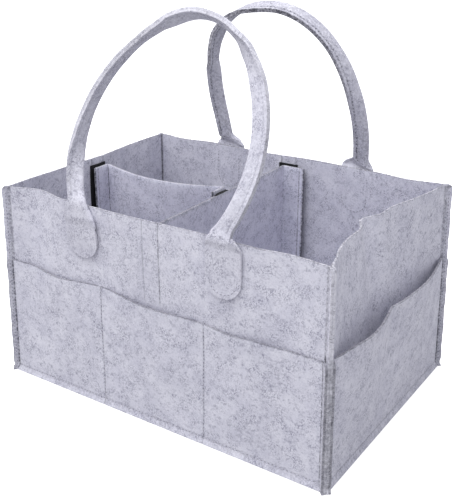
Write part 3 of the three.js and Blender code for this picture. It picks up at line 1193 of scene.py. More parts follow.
@dataclass
class Base:
    """The floor of the box: a felt panel whose rim is turned down inside the hem."""

    form: BoxForm
    finishes: Finishes
    height: float = 6
    rim_inset: float = 3.0
    cuts: int = 24
    bend: float = 1.6
    bend_degrees: float = 40
    bend_segments: int = 3
    smooth_degrees: float = 50
    flat_edge: float = 1
    wave: float = 0.25
    wave_rates: Pair = (0.045, 0.06)
    wave_start: float = 1

    def _size(self, z: float) -> list[float]:
        """The panel's length and depth at a height, in metres."""
        front, halves = self.form.sides["front"], (self.form.half_span, self.form.half_across)
        return [2 * (half(front, z) - self.rim_inset) * MM for half in halves]

    def build(self) -> Piece:
        """Makes the base panel.

        Returns:
            The piece.
        """
        top_size, low_size = self._size(self.height), self._size(0)
        deselect()
        bpy.ops.mesh.primitive_cube_add(size=1, location=(0, 0, self.height * MM / 2))
        piece = bpy.context.object
        piece.name = "base_felt"
        piece.scale = (*top_size, self.height * MM)
        bpy.ops.object.transform_apply(location=True, rotation=False, scale=True)
        bpy.ops.object.mode_set(mode="EDIT")
        bpy.ops.mesh.select_mode(type="FACE")
        bpy.ops.mesh.select_all(action="DESELECT")
        bpy.ops.object.mode_set(mode="OBJECT")
        lowest = min(face.center.z for face in piece.data.polygons)
        for face in piece.data.polygons:
            face.select = face.center.z == lowest
        bpy.ops.object.mode_set(mode="EDIT")
        bpy.ops.transform.resize(
            value=(low_size[0] / top_size[0], low_size[1] / top_size[1], 1),
            center_override=(0, 0, 0),
        )
        bpy.ops.mesh.delete(type="ONLY_FACE")
        bpy.ops.mesh.select_all(action="SELECT")
        bpy.ops.mesh.subdivide(number_cuts=self.cuts)
        bpy.ops.mesh.normals_make_consistent(inside=False)
        bpy.ops.object.mode_set(mode="OBJECT")
        self._wave(piece, top_size)
        add_modifier(
            piece, "BEVEL", limit_method="ANGLE", angle_limit=math.radians(self.bend_degrees),
            width=self.bend * MM, segments=self.bend_segments,
        )
        add_modifier(
            piece, "SOLIDIFY", thickness=self.form.felt * MM, offset=0, material_offset_rim=1
        )
        piece.data.materials.append(self.finishes.inner)
        piece.data.materials.append(self.finishes.edge)
        apply_modifiers(piece)
        rest_on_floor(piece)
        bpy.ops.object.shade_smooth_by_angle(angle=math.radians(self.smooth_degrees))
        dress(piece, "caddy", "felt_base", "base_panel")
        return piece

    def _wave(self, piece: Piece, size: Sequence[float]) -> None:
        """Gives the panel's top the slight waves of felt that lies loose.

        Args:
            piece: The panel.
            size: The size of its top, in metres.
        """
        half_x, half_y = (length / MM / 2 - self.flat_edge for length in size)
        for vertex in piece.data.vertices:
            x, y = vertex.co.x / MM, vertex.co.y / MM
            if abs(x) < half_x and abs(y) < half_y:
                along = math.sin(x * self.wave_rates[0])
                across = math.sin(y * self.wave_rates[1] + self.wave_start)
                vertex.co.z += self.wave * MM * along * across


# Handles


@dataclass(frozen=True)
class Foot:
    """How a strip narrows from its tongue to the strap, by heights above the hinge.

    The strap's middle is at a place from the middle of the wall. The folded edge starts to
    turn in at fold_low and has reached the strap's width at fold_high. The other edge
    narrows between edge_low and edge_high. A foot that is flipped folds its outer half, and
    the others fold their inner half.
    """

    place: float
    fold_low: float
    fold_high: float
    edge_low: float
    edge_high: float
    flipped: bool = False

    @property
    def facing(self) -> int:
        """1 where the strip's first face is outside, -1 where it is flipped."""
        return -1 if self.flipped else 1


@dataclass(frozen=True)
class Arch:
    """A handle's arch in its own plane: two curves that meet at the crown.

    Each pair has the value at the left foot first. A pull is the length of a curve's
    handle: at a foot it stands up and swings out, and at the crown it lies level.
    """

    crown: float
    rise: float
    foot_pulls: Pair
    foot_swings: Pair
    crown_pulls: Pair
    lean_degrees: float


@dataclass
class Handle:
    """A handle: one length of felt, folded in half to a strap between two flat tongues.

    The strap's two raw edges are sewn together along one side, and the strap twists on its
    way over the hand. At each foot one half of the felt is folded over towards the wall.
    Heights are measured along the strip from the hinge, and the turns are degrees of twist
    by shares of the arch.
    """

    name: str
    form: BoxForm
    finishes: Finishes
    side: Side
    arch_shape: Arch
    turns: Line
    feet: tuple[Foot, Foot]
    strap_width: float = 13.4
    fold_radius: float = 1.45
    fold_rolled: float = 0.25
    lip: float = 0.99
    lip_fade: Pair = (3.4, 9)
    lip_reach: Pair = (-4, 8)
    stitch_inset: float = 3.2
    stitch_dent: float = 0.07
    stitch_dent_width: float = 0.7
    stand_reach: Pair = (-26, 2)
    tongue_outer: float = 86
    tongue_inner: float = 54.5
    tongue_low: float = 134
    tongue_flat: float = -10
    hinge_height: float = 183
    hinge_out: float = 113.35
    hinge_blend: Pair = (-5, 9)
    wall_rim: float = 108.5
    tuck_reach: Pair = (2, 34)
    strap_reach: Pair = (-9, 7)
    arch_steps: int = 90
    softness: float = 0.4
    row_step: float = 2.2
    tip_angle: float = 0.12
    tip_rows: int = 9
    tongue_rows: int = 5
    foot_rows: int = 38
    foot_low: float = -20
    foot_high: float = 30
    half_columns: tuple[float, ...] = (
        0, 0.03, 0.06, 0.09, 0.12, 0.155, 0.2, 0.26, 0.33, 0.4, 0.47, 0.54, 0.61, 0.67, 0.72,
        0.76, 0.79, 0.82, 0.86, 0.9, 0.95, 1,
    )
    # Shade painted into the strap: along its stitch line and raw edges, at the crown and towards
    # the feet; strap_shade dulls the whole strap a little.
    strap_shade: float = 0.08
    strap_shade_reach: Pair = (-4, 10)
    seam_shade: float = 0.2
    seam_shade_width: float = 0.045
    raw_shade: float = 0.0
    raw_start: float = 0.93
    raw_patchiness: float = 0.3
    patch_rates: tuple[float, float, float] = (1.3, 0.37, 2)
    foot_shade: float = 0.04
    foot_shade_reach: Pair = (15, 75)
    crown_shade: float = 0.0
    crown_power: int = 3

    def __post_init__(self) -> None:
        """Lays out the arch as a dense line in the handle's own plane."""
        shape = self.arch_shape
        first, last = (foot.place for foot in self.feet)
        top = (shape.crown, shape.rise)
        left = ((-first, 0), (-first - shape.foot_swings[0], shape.foot_pulls[0]),
                (shape.crown - shape.crown_pulls[0], shape.rise), top)
        right = (top, (shape.crown + shape.crown_pulls[1], shape.rise),
                 (last + shape.foot_swings[1], shape.foot_pulls[1]), (last, 0))
        shares = spread(0, 1, self.arch_steps)
        line = [self._bezier(*left, t) for t in shares]
        line += [self._bezier(*right, t) for t in shares[1:]]
        self._line = [Vector(point) for point in line]
        self._lengths = [0.0]
        for a, b in zip(self._line, self._line[1:]):
            self._lengths.append(self._lengths[-1] + (b - a).length)

    @staticmethod
    def _bezier(a: Pair, b: Pair, c: Pair, d: Pair, t: float) -> Pair:
        """A point of a cubic curve.

        Args:
            a: Its start.
            b: The end of the start's handle.
            c: The end of the end's handle.
            d: Its end.
            t: The share of the curve.

        Returns:
            The point.
        """
        return tuple(
            (1 - t) ** 3 * p + 3 * (1 - t) ** 2 * t * q + 3 * (1 - t) * t * t * r + t**3 * s
            for p, q, r, s in zip(a, b, c, d)
        )

    @property
    def length(self) -> float:
        """The arch's length from hinge to hinge."""
        return self._lengths[-1]

    @property
    def nodes(self) -> tuple[str, str, str]:
        """The CAD nodes that the felt replaces."""
        return (self.name, f"{self.name}_tongue_left", f"{self.name}_tongue_right")

    def arch(self, distance: float) -> tuple[Vector, Vector]:
        """The arch at a distance.

        Args:
            distance: The distance from its first hinge.

        Returns:
            The point and the direction there, in the handle's own plane.
        """
        first, last = (foot.place for foot in self.feet)
        if distance <= 0:
            return Vector((-first, distance)), Vector((0, 1))
        if distance >= self.length:
            return Vector((last, self.length - distance)), Vector((0, -1))
        i = next(i for i, length in enumerate(self._lengths) if length >= distance)
        a, b = self._line[i - 1], self._line[i]
        share = (distance - self._lengths[i - 1]) / (self._lengths[i] - self._lengths[i - 1])
        before, after = self._line[max(i - 3, 0)], self._line[min(i + 2, len(self._line) - 1)]
        return a.lerp(b, share), (after - before).normalized()

    def foot(self, distance: float) -> tuple[Foot, float]:
        """Finds the nearer foot.

        Args:
            distance: The distance along the arch.

        Returns:
            The foot, and the height above its hinge along the strip.
        """
        if distance < self.length / 2:
            return self.feet[0], distance
        return self.feet[1], self.length - distance

    def section(self, distance: float, share: float, lift: float) -> Point:
        """A point of the strip's cross-section.

        Args:
            distance: The distance along the arch.
            share: The place across the strip, from -1 to 1 at its two long edges.
            lift: How far off the felt's middle the point lies, away from the fold.

        Returns:
            The place across towards the raw edges, the place towards the strip's first
            face, and how far the strip stands off the wall for its fold.
        """
        foot, height = self.foot(distance)
        inner, outer = foot.place - self.tongue_inner, self.tongue_outer - foot.place
        flat_fold, flat_raw = (outer, inner) if foot.flipped else (inner, outer)
        half = self.strap_width / 2
        turning = smooth(height, foot.fold_low, foot.fold_high)
        fold_place = -lerp(flat_fold, half, turning)
        raw_place = lerp(flat_raw, half, smooth(height, foot.edge_low, foot.edge_high))
        folded = turning - 1
        radius = self.fold_radius * smooth(turning, 0, self.fold_rolled)
        stand_low, stand_high = (foot.fold_low + reach for reach in self.stand_reach)
        stand = self.fold_radius * smooth(height, stand_low, stand_high)
        quarter = radius * math.pi / 2
        scale = (raw_place - fold_place + quarter - radius) / (1 - folded)
        at = foot.facing * share - folded
        stays = 1 if at >= 0 else -1
        bent = abs(at) * scale
        if bent < quarter:
            across = fold_place + radius * (1 - math.cos(bent / radius))
            out = radius * math.sin(bent / radius)
        else:
            across = fold_place + radius + bent - quarter
            out = radius
        from_raw = raw_place - across
        pinch = lerp(1, self.lip / self.fold_radius, 1 - smooth(from_raw, *self.lip_fade))
        pinch -= self.stitch_dent * bell(from_raw - self.stitch_inset, self.stitch_dent_width)
        lip_low, lip_high = (foot.fold_high + reach for reach in self.lip_reach)
        out *= lerp(1, pinch, smooth(height, lip_low, lip_high))
        return across, foot.facing * stays * (out + lift), stand

    def point(self, distance: float, share: float, lift: float = 0.0) -> Point:
        """A point of the handle's felt, in the side's own frame.

        Args:
            distance: The distance along the arch from its first hinge; negative or past its
                length on the tongues.
            share: The place across the strip, from -1 to 1.
            lift: How far off the felt's middle the point lies, away from the fold.

        Returns:
            The point.
        """
        foot, height = self.foot(distance)
        end = -1 if distance < self.length / 2 else 1
        across, out, stand = self.section(distance, share, lift)
        flat = self._on_wall(
            end, height, foot.place + foot.facing * across, foot.facing * out + stand
        )
        if height < self.tongue_flat:
            return flat
        arch, direction = self.arch(distance)
        lean = math.radians(self.arch_shape.lean_degrees)
        up = Vector((0, math.sin(lean), math.cos(lean)))
        outward = Vector((0, -math.cos(lean), math.sin(lean)))
        radial = Vector((-direction.y, 0, 0)) + up * direction.x
        turn = math.radians(profile(self.turns, distance / self.length))
        wide = radial * math.cos(turn) + outward * math.sin(turn)
        face = outward * math.cos(turn) - radial * math.sin(turn)
        hinge = Vector((0, -self.hinge_out, self.hinge_height))
        on_wall = self.wall_rim + Layer.TONGUE.value + stand
        tucked = (self.hinge_out - on_wall) * (1 - smooth(height, *self.tuck_reach))
        centre = hinge + Vector((arch.x, tucked, 0)) + up * arch.y
        strap = centre + wide * across + face * out
        return tuple(Vector(flat).lerp(strap, smooth(height, *self.strap_reach)))

    def _on_wall(self, end: int, height: float, place: float, out: float) -> Point:
        """A point of a tongue, which lies flat on the wall and is round at its lower end.

        Args:
            end: -1 for the left tongue, 1 for the right one.
            height: The height above the hinge.
            place: The distance from the middle of the wall.
            out: How far outside the tongue's layer the point lies.

        Returns:
            The point, in the side's own frame.
        """
        z = self.hinge_height + height
        middle = (self.tongue_outer + self.tongue_inner) / 2
        radius = (self.tongue_outer - self.tongue_inner) / 2
        across = place - middle
        above = z - self.tongue_low
        if above < radius:
            across *= math.sqrt(max(0.0, radius**2 - (radius - above) ** 2)) / radius
        x = end * (middle + across)
        return self.form.wall_point(self.side, x, z, Layer.TONGUE.value + out)

    def rows(self) -> list[float]:
        """Rows along the whole length of felt, closest together at its feet.

        Returns:
            Distances along the arch.
        """
        low = self.tongue_low - self.hinge_height
        radius = (self.tongue_outer - self.tongue_inner) / 2
        angles = spread(self.tip_angle, math.pi / 2, self.tip_rows)
        tip = [low + radius * (1 - math.cos(angle)) for angle in angles]
        tongue = spread(low + radius, self.foot_low, self.tongue_rows)[1:]
        foot = spread(self.foot_low, self.foot_high, self.foot_rows)[1:]
        leg = [*tip, *tongue, *foot]
        count = round((self.length - 2 * self.foot_high) / self.row_step)
        strap = spread(self.foot_high, self.length - self.foot_high, count)[1:-1]
        return [*leg, *strap, *(self.length - value for value in reversed(leg))]

    def columns(self) -> list[float]:
        """Shares across the strip, closer together at the fold and at the stitches."""
        return [-value for value in reversed(self.half_columns[1:])] + list(self.half_columns)

    def mark(self, share: float, distance: float) -> float:
        """How dark the felt is: duller on the strap, with painted shade at its stitches, its raw
        edges, its crown and its feet.

        Args:
            share: The place across the strip, from -1 to 1.
            distance: The distance along the arch.

        Returns:
            The shade, from 0 to 1.
        """
        height = self.foot(distance)[1]
        strap = smooth(height, *self.strap_shade_reach)
        seam = 1 - self.stitch_inset / self.strap_width
        stitched = self.seam_shade * bell(abs(share) - seam, self.seam_shade_width)
        # Painted shade along the raw edges, in patches.
        patchy_shade = 1 - self.raw_patchiness + self.raw_patchiness * patchy(distance, *self.patch_rates)
        raw = self.raw_shade * patchy_shade * smooth(abs(share), self.raw_start, 1)
        over = math.sin(math.pi * min(1.0, max(0.0, distance / self.length)))
        crown = self.crown_shade * over**self.crown_power
        low = self.foot_shade * (1 - smooth(height, *self.foot_shade_reach))
        return strap * min(1.0, self.strap_shade + crown + low + max(stitched, raw))

    def build(self) -> Piece:
        """Makes the handle's felt.

        Returns:
            The piece.
        """
        form = self.form
        piece = Sheet(
            f"{self.name}_felt", self.columns(), self.rows(),
            lambda column, row: form.turned(self.side, self.point(row, column)),
            form.felt, self.finishes.strap, self.finishes.rim, self.softness, self.mark,
            even=False,
        ).build()
        hinge = Vector(form.turned(self.side, (0, -self.hinge_out, self.hinge_height)))
        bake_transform(piece)
        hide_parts(*self.nodes)
        return piece


# Dividers and tape


@dataclass
class Divider:
    """A divider: a strip of felt with a tab folded over at each end.

    Its corners in plan are the first tab's end, the two folds, and the last tab's end.
    """

    name: str
    form: BoxForm
    finishes: Finishes
    corners: Line
    bow: Pair
    sag: float
    low: float = 8.3
    top: float = 172
    bend: float = 2.2
    bend_steps: int = 5
    column_step: float = 3.5
    row_step: float = 4
    wave: float = 0.7
    wave_rates: Pair = (9, 3)
    tab_shares: tuple[float, ...] = (0, 0.2, 0.4, 0.6, 0.73, 0.77, 0.81, 0.9)
    stitch_share: float = 0.77
    # Painted shade at the tabs' free edges, along the tape's stitches, in the folds and on the top
    # edge.
    end_shade: float = 0.8
    stitch_shade: float = 0.65
    fold_shade: float = 0.85
    top_shade: float = 0.0
    top_start: float = 0.985

    def line(self) -> list[Vector]:
        """Draws the divider in plan, with its folds rounded off.

        Returns:
            The points of its middle line.
        """
        start, first, last, end = (Vector(corner) for corner in self.corners)
        first_fold = self._fold(start, first, last)
        last_fold = self._fold(first, last, end)
        tab_in = [first_fold[0].lerp(start, share) for share in (1, *reversed(self.tab_shares[1:]))]
        tab_out = [last_fold[-1].lerp(end, share) for share in (*self.tab_shares[1:], 1)]
        count = round((last - first).length / self.column_step)
        middle = [
            first_fold[-1].lerp(last_fold[0], share) + Vector(self.bow) * math.sin(math.pi * share)
            for share in spread(0, 1, count)[1:-1]
        ]
        return [*tab_in, *first_fold, *middle, *last_fold, *tab_out]

    def _fold(self, before: Vector, corner: Vector, after: Vector) -> list[Vector]:
        """A rounded fold at a corner.

        Args:
            before: The corner before it.
            corner: The corner.
            after: The corner after it.

        Returns:
            The fold's points.
        """
        enter = corner + (before - corner).normalized() * self.bend
        leave = corner + (after - corner).normalized() * self.bend
        return [
            enter * (1 - t) ** 2 + corner * (2 * t * (1 - t)) + leave * t * t
            for t in spread(0, 1, self.bend_steps)
        ]

    def mark(self, count: int, column: float, row: float) -> float:
        """How much shade is painted into the felt: at the two folds, the tape's stitches and the
        edges.

        Args:
            count: How many columns the divider has.
            column: The number of the column.
            row: The height, as a share of the divider's.

        Returns:
            The shade, from 0 to 1.
        """
        tab = len(self.tab_shares)
        near = min(round(column), count - 1 - round(column))
        if near == 0:
            return self.end_shade
        if near == tab - self.tab_shares.index(self.stitch_share):
            return self.stitch_shade
        if near in (tab + 2, tab + 3):
            return self.fold_shade
        return self.top_shade * smooth(row, self.top_start, 1) if near > tab + 3 else 0.0

    def point(self, middle: Vector, row: float) -> Point:
        """A point of the felt.

        Args:
            middle: The point of its middle line.
            row: The height, as a share of the divider's.

        Returns:
            The point.
        """
        first, last = Vector(self.corners[1]), Vector(self.corners[2])
        chord = last - first
        normal = Vector((-chord.y, chord.x)).normalized()
        share = min(1.0, max(0.0, (middle - first).dot(chord) / chord.length_squared))
        slack = math.sin(math.pi * share)
        z = self.low + (self.top - self.low) * row - self.sag * slack * row**3
        along, up = self.wave_rates
        wave = self.wave * slack * math.sin(share * along + row * up)
        return (middle.x + normal.x * wave, middle.y + normal.y * wave, z)

    def build(self) -> Piece:
        """Makes the divider's felt.

        Returns:
            The piece.
        """
        line = self.line()
        height = self.top - self.low
        piece = Sheet(
            f"{self.name}_felt", [float(i) for i in range(len(line))],
            spread(0, 1, round(height / self.row_step)),
            lambda column, row: self.point(line[round(column)], row),
            self.form.felt, self.finishes.inner, self.finishes.edge,
            mark=lambda column, row: self.mark(len(line), column, row),
        ).build()
        dress(piece, self.name, "felt_divider", self.name)
        return piece


@dataclass
class Tape:
    """A strip of hook or loop tape over the box that its CAD node fills."""

    node: str
    body: str
    slot: str
    finish: Material
    thickness: float = 1.1
    pressed_share: float = 0.3
    inset: float = 0.05
    softness: float = 0.3
    edge_segments: int = 2
    smooth_degrees: float = 40

    def build(self) -> Piece:
        """Makes the strip: a rounded copy of its node.

        Returns:
            The piece.
        """
        low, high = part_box(self.node)
        size = high - low
        thin = 0 if size.x < size.y else 1
        wide = 1 - thin
        inset = self.inset * MM
        deselect()
        bpy.ops.mesh.primitive_cube_add(size=1, location=(low + high) / 2)
        piece = bpy.context.object
        piece.name = f"{self.node}_tape"
        scale = [0.0, 0.0, size.z - 2 * inset]
        scale[thin] = min(size[thin], self.thickness * MM + size[thin] * self.pressed_share)
        scale[wide] = size[wide] - 2 * inset
        piece.scale = scale
        bpy.ops.object.transform_apply(location=True, rotation=False, scale=True)
        add_modifier(piece, "BEVEL", width=self.softness * MM, segments=self.edge_segments)
        piece.data.materials.append(self.finish)
        apply_modifiers(piece)
        bpy.ops.object.shade_smooth_by_angle(angle=math.radians(self.smooth_degrees))
        return dress(piece, self.body, self.slot, self.node)


@dataclass
class Pad:
    """A loop pad sewn to the inside of a wall."""

    form: BoxForm
    finish: Material
    side: Side
    place_along: float = 0
    width: float = 20
    top: float = 174
    length: float = 148
    thickness: float = 1.4
    softness: float = 0.25
    width_steps: int = 8
    length_steps: int = 30

    def point(self, column: float, row: float) -> Point:
        """A point of the pad.

        Args:
            column: The place across it, from -1 to 1.
            row: The place along it, from 0 to 1.

        Returns:
            The point.
        """
        along = self.place_along + column * self.width / 2
        z = self.top - self.length * (1 - row)
        point = self.form.wall_point(self.side, along, z, Layer.PAD.value)
        return self.form.turned(self.side, point)

    def build(self) -> Piece:
        """Makes the pad.

        Returns:
            The piece.
        """
        node = f"{self.side.name}_wall_loop_pad"
        piece = Sheet(
            f"{node}_tape", spread(-1, 1, self.width_steps), spread(0, 1, self.length_steps),
            self.point, self.thickness, self.finish, self.finish, self.softness,
        ).build()
        return dress(piece, "caddy", "loop_tape", node)


# Stitches


@dataclass(frozen=True)
class Stitch:
    """One stitch: where its middle lies, the way it runs and the way it faces."""

    middle: Vector
    along: Vector
    out: Vector

    def directions(self) -> tuple[Vector, Vector]:
        """The way across the stitch, and the way out of the felt, square to the stitch."""
        across = self.along.cross(self.out).normalized()
        return across, across.cross(self.along).normalized()


@dataclass
class StitchRow:
    """A sewn row: short lengths of thread that dip into the felt at both ends, each end on a dark
    lens that paints the shade of its needle hole.

    The thread is a six-sided bow through rings at some shares of half its length.
    """

    name: str
    body: str
    slot: str
    finishes: Finishes
    length: float = 2.5
    pitch: float = 3.3
    thread: float = 0.55
    # The radius and height of the dark lens that paints each needle hole's shade.
    hole_shade: float = 0.42
    hole_shade_depth: float = 0.08
    round_sides: int = 6
    rings: tuple[float, ...] = (-1, -0.7, 0, 0.7, 1)
    bow_rise: float = 0.32
    bow_dip: float = 0.75
    tip_share: float = 0.45

    def along(self, path: Sequence[Vector], out: Vector) -> list[Stitch]:
        """Stitches at an even pitch along a path.

        Args:
            path: The row's line, in millimetres.
            out: The way the felt faces.

        Returns:
            The stitches.
        """
        stitches = []
        travelled, due = 0.0, self.pitch / 2
        for a, b in zip(path, path[1:]):
            step = (b - a).length
            while step > 0 and due <= travelled + step:
                middle = a.lerp(b, (due - travelled) / step)
                stitches.append(Stitch(middle, (b - a).normalized(), out))
                due += self.pitch
            travelled += step
        return stitches

    def build(self, stitches: Sequence[Stitch]) -> Piece:
        """Makes one mesh of all the stitches of a row.

        Args:
            stitches: Where they lie.

        Returns:
            The piece.
        """
        points: list[Point] = []
        faces: list[tuple[int, ...]] = []
        kinds: list[int] = []
        for stitch in stitches:
            self._thread(stitch, points, faces)
            kinds += [0] * (len(faces) - len(kinds))
            for end in (-1, 1):
                self._hole_shade(stitch, end, points, faces)
            kinds += [1] * (len(faces) - len(kinds))
        mesh = bpy.data.meshes.new(self.name)
        mesh.from_pydata([tuple(c * MM for c in point) for point in points], [], faces)
        mesh.polygons.foreach_set("material_index", kinds)
        piece = bpy.data.objects.new(self.name, mesh)
        bpy.context.collection.objects.link(piece)
        mesh.materials.append(self.finishes.thread)
        mesh.materials.append(self.finishes.hole_shade)
        mesh.shade_smooth()
        return dress(piece, self.body, self.slot)

    def _ring(self, centre: Vector, first: Vector, second: Vector, radius: float) -> list[Point]:
        """The corners of a ring.

        Args:
            centre: Its middle.
            first: The way to its first corner.
            second: The same a quarter turn on.
            radius: Its radius.

        Returns:
            The corners.
        """
        turns = (i * 2 * math.pi / self.round_sides for i in range(self.round_sides))
        reaches = ((radius * math.cos(turn), radius * math.sin(turn)) for turn in turns)
        return [tuple(centre + first * along + second * aside) for along, aside in reaches]

    def _thread(self, stitch: Stitch, points: list[Point], faces: list[tuple[int, ...]]) -> None:
        """Adds a bowed length of thread, closed at both ends.

        Args:
            stitch: The stitch.
            points: The row's points, which grow.
            faces: The row's faces, which grow.
        """
        across, out = stitch.directions()
        sides = self.round_sides
        first = len(points)
        for share in self.rings:
            bow = self.thread * (self.bow_rise - self.bow_dip * share * share)
            thick = self.thread / 2 * (self.tip_share if abs(share) == 1 else 1)
            centre = stitch.middle + stitch.along * (share * self.length / 2) + out * bow
            points += self._ring(centre, across, out, thick)
        for ring in range(len(self.rings) - 1):
            for i in range(sides):
                a, b = first + ring * sides + i, first + ring * sides + (i + 1) % sides
                faces.append((a, b, b + sides, a + sides))
        last = first + (len(self.rings) - 1) * sides
        faces.append(tuple(first + i for i in reversed(range(sides))))
        faces.append(tuple(last + i for i in range(sides)))

    def _hole_shade(self, stitch: Stitch, end: int, points: list[Point],
              faces: list[tuple[int, ...]]) -> None:
        """Adds the painted shade of a needle hole: a low dark lens that lies on the felt.

        Args:
            stitch: The stitch.
            end: -1 for the hole at its start, 1 for the one at its end.
            points: The row's points, which grow.
            faces: The row's faces, which grow.
        """
        across, out = stitch.directions()
        centre = stitch.middle + stitch.along * (end * self.length / 2)
        first = len(points)
        points += self._ring(centre, across, stitch.along, self.hole_shade)
        points += [tuple(centre + out * lift) for lift in (self.hole_shade_depth, -self.hole_shade_depth)]
        upper = first + self.round_sides
        for i in range(self.round_sides):
            a, b = first + i, first + (i + 1) % self.round_sides
            faces.append((b, a, upper))
            faces.append((a, b, upper + 1))


@dataclass
class Stitching:
    """Every sewn row of the caddy.

    The ends of an upright row are how far above the floor or the pocket's edge it starts,
    and how far below the pocket's edge or the wall's it stops.
    """

    form: BoxForm
    finishes: Finishes
    pockets: Pockets
    handles: Sequence[Handle]
    pocket_lines: Sequence[float]
    hem_end: float = 6
    hem_steps: int = 60
    upright_steps: int = 30
    pocket_line_sunk: float = 0.4
    pocket_line_ends: Pair = (8, 2)
    corner_pocket_ends: Pair = (6, 2)
    corner_wall_ends: Pair = (3, 4)
    corner_reach: float = 1.6
    tongue_inset: float = 3.4
    tongue_top: float = 171
    tongue_steps: int = 16
    inner_hole_shade: float = 0.45
    strap_end: float = 20
    strap_sunk: float = 0.05
    strap_step: float = 1

    def build(self) -> list[Piece]:
        """Makes the rows of the box, the pockets and the handles.

        Returns:
            The pieces.
        """
        pieces = []
        for side in self.form.sides.values():
            row = StitchRow(f"{side.name}_stitches", "caddy", "felt_pocket", self.finishes)
            stitches = [
                *self._hem(row, side), *self._corner(row, side, -1), *self._corner(row, side, 1),
            ]
            if side.name in ("front", "back"):
                for line in self.pocket_lines:
                    stitches += self._pocket_line(row, side, line)
            pieces.append(row.build(stitches))
        for handle in self.handles:
            name = handle.name
            outer = StitchRow(f"{name}_outer_stitches", "caddy", "felt_strap", self.finishes)
            inner = StitchRow(
                f"{name}_inner_stitches", "caddy", "felt_strap", self.finishes,
                hole_shade=self.inner_hole_shade,
            )
            for row, outside in ((outer, True), (inner, False)):
                pieces.append(row.build([
                    stitch for end in (-1, 1) for stitch in self._tongue(row, handle, end, outside)
                ]))
            seam = StitchRow(f"{name}_strap_stitches", name, "felt_strap", self.finishes)
            pieces.append(seam.build([
                *self._strap(seam, handle, 1), *self._strap(seam, handle, -1),
            ]))
        return pieces

    def _pocket_face(self, side: Side, along: float, z: float, sunk: float = 0.0) -> Vector:
        """A point of a pocket's outer face.

        Args:
            side: The pocket's side.
            along: The place along it.
            z: The height.
            sunk: How far the point lies inside the felt.

        Returns:
            The point.
        """
        layer = Layer.POCKET.value + self.form.felt / 2 - sunk
        share = along / self.form.bend_place(side, z, layer)
        swell = self.pockets.swell(side, share, z)
        point = self.form.wall_point(side, along, z, layer, swell)
        return Vector(self.form.turned(side, point))

    def _outwards(self, side: Side) -> Vector:
        """The way a side faces."""
        return Vector(self.form.turned(side, (0, -1, 0)))

    def _hem(self, row: StitchRow, side: Side) -> list[Stitch]:
        """The row above the raw lower edge.

        Args:
            row: The row that it belongs to.
            side: The side.

        Returns:
            The stitches.
        """
        half = side.floor_span / 2 - self.hem_end
        places = spread(-half, half, self.hem_steps)
        path = [self._pocket_face(side, along, self.form.hem_height) for along in places]
        return row.along(path, self._outwards(side))

    def _pocket_line(self, row: StitchRow, side: Side, line: float) -> list[Stitch]:
        """An upright row that parts two pockets.

        Args:
            row: The row that it belongs to.
            side: The side.
            line: The place along the side.

        Returns:
            The stitches.
        """
        low, below = self.pocket_line_ends
        heights = spread(low, self.form.pocket_height - below, self.upright_steps)
        path = [self._pocket_face(side, line, z, self.pocket_line_sunk) for z in heights]
        return row.along(path, self._outwards(side))

    def _corner(self, row: StitchRow, side: Side, end: int) -> list[Stitch]:
        """The row that closes a corner seam, on the turned-out edge.

        Args:
            row: The row that it belongs to.
            side: The side.
            end: -1 for its left corner, 1 for its right one.

        Returns:
            The stitches.
        """
        form = self.form
        out = Vector(form.turned(side, (-end, -1, 0))).normalized()
        stitches = []
        parts = (
            (Layer.POCKET, 0, form.pocket_height, self.corner_pocket_ends),
            (Layer.WALL, form.pocket_height, form.wall_height, self.corner_wall_ends),
        )
        for layer, foot, top, (above, below) in parts:
            surface = layer.value + form.felt / 2
            path = [
                Vector(form.turned(side, form.seam_point(side, end, z, surface, self.corner_reach)))
                for z in spread(foot + above, top - below, self.upright_steps)
            ]
            stitches += row.along(path, out)
        return stitches

    def _tongue(self, row: StitchRow, handle: Handle, end: int, outside: bool) -> list[Stitch]:
        """The row round a tongue, seen on the tongue and on the inside of the wall.

        Args:
            row: The row that it belongs to.
            handle: The tongue's handle.
            end: -1 for its left tongue, 1 for its right one.
            outside: Whether this is the side seen on the tongue, which also has stitches
                along the tongue's top.

        Returns:
            The stitches.
        """
        middle = end * (handle.tongue_outer + handle.tongue_inner) / 2
        radius = (handle.tongue_outer - handle.tongue_inner) / 2 - self.tongue_inset
        low = handle.tongue_low + self.tongue_inset + radius
        outline = [(middle - radius, self.tongue_top)]
        outline += [
            (middle - radius * math.cos(angle), low - radius * math.sin(angle))
            for angle in spread(0, math.pi, self.tongue_steps)
        ]
        outline += [(middle + radius, self.tongue_top)]
        if outside:
            outline.append(outline[0])
            layer = Layer.TONGUE.value + self.form.felt / 2
        else:
            layer = Layer.WALL.value - self.form.felt / 2
        spots = [
            Vector(self.form.turned(handle.side, self.form.wall_point(handle.side, x, z, layer)))
            for x, z in outline
        ]
        return row.along(spots, self._outwards(handle.side) * (1 if outside else -1))

    def _strap(self, row: StitchRow, handle: Handle, face: int) -> list[Stitch]:
        """The row along the strap that closes its raw edges.

        Args:
            row: The row that it belongs to.
            handle: The strap's handle.
            face: 1 or -1 for one of the strap's two faces.

        Returns:
            The stitches.
        """
        share = face * (1 - handle.stitch_inset / handle.strap_width)
        lift = handle.form.felt / 2 - self.strap_sunk
        stitches = []
        distance = self.strap_end
        while distance < handle.length - self.strap_end:
            here, ahead, below = (
                Vector(handle.form.turned(handle.side, handle.point(place, share, height)))
                for place, height in (
                    (distance, lift), (distance + self.strap_step, lift), (distance, 0),
                )
            )
            stitches.append(Stitch(here, (ahead - here).normalized(), (here - below).normalized()))
            distance += row.pitch
        return stitches


# The studio


@dataclass(frozen=True)
class Lamp:
    """A square soft lamp."""

    name: str
    place: Point
    size: float
    power: float
    colour: str


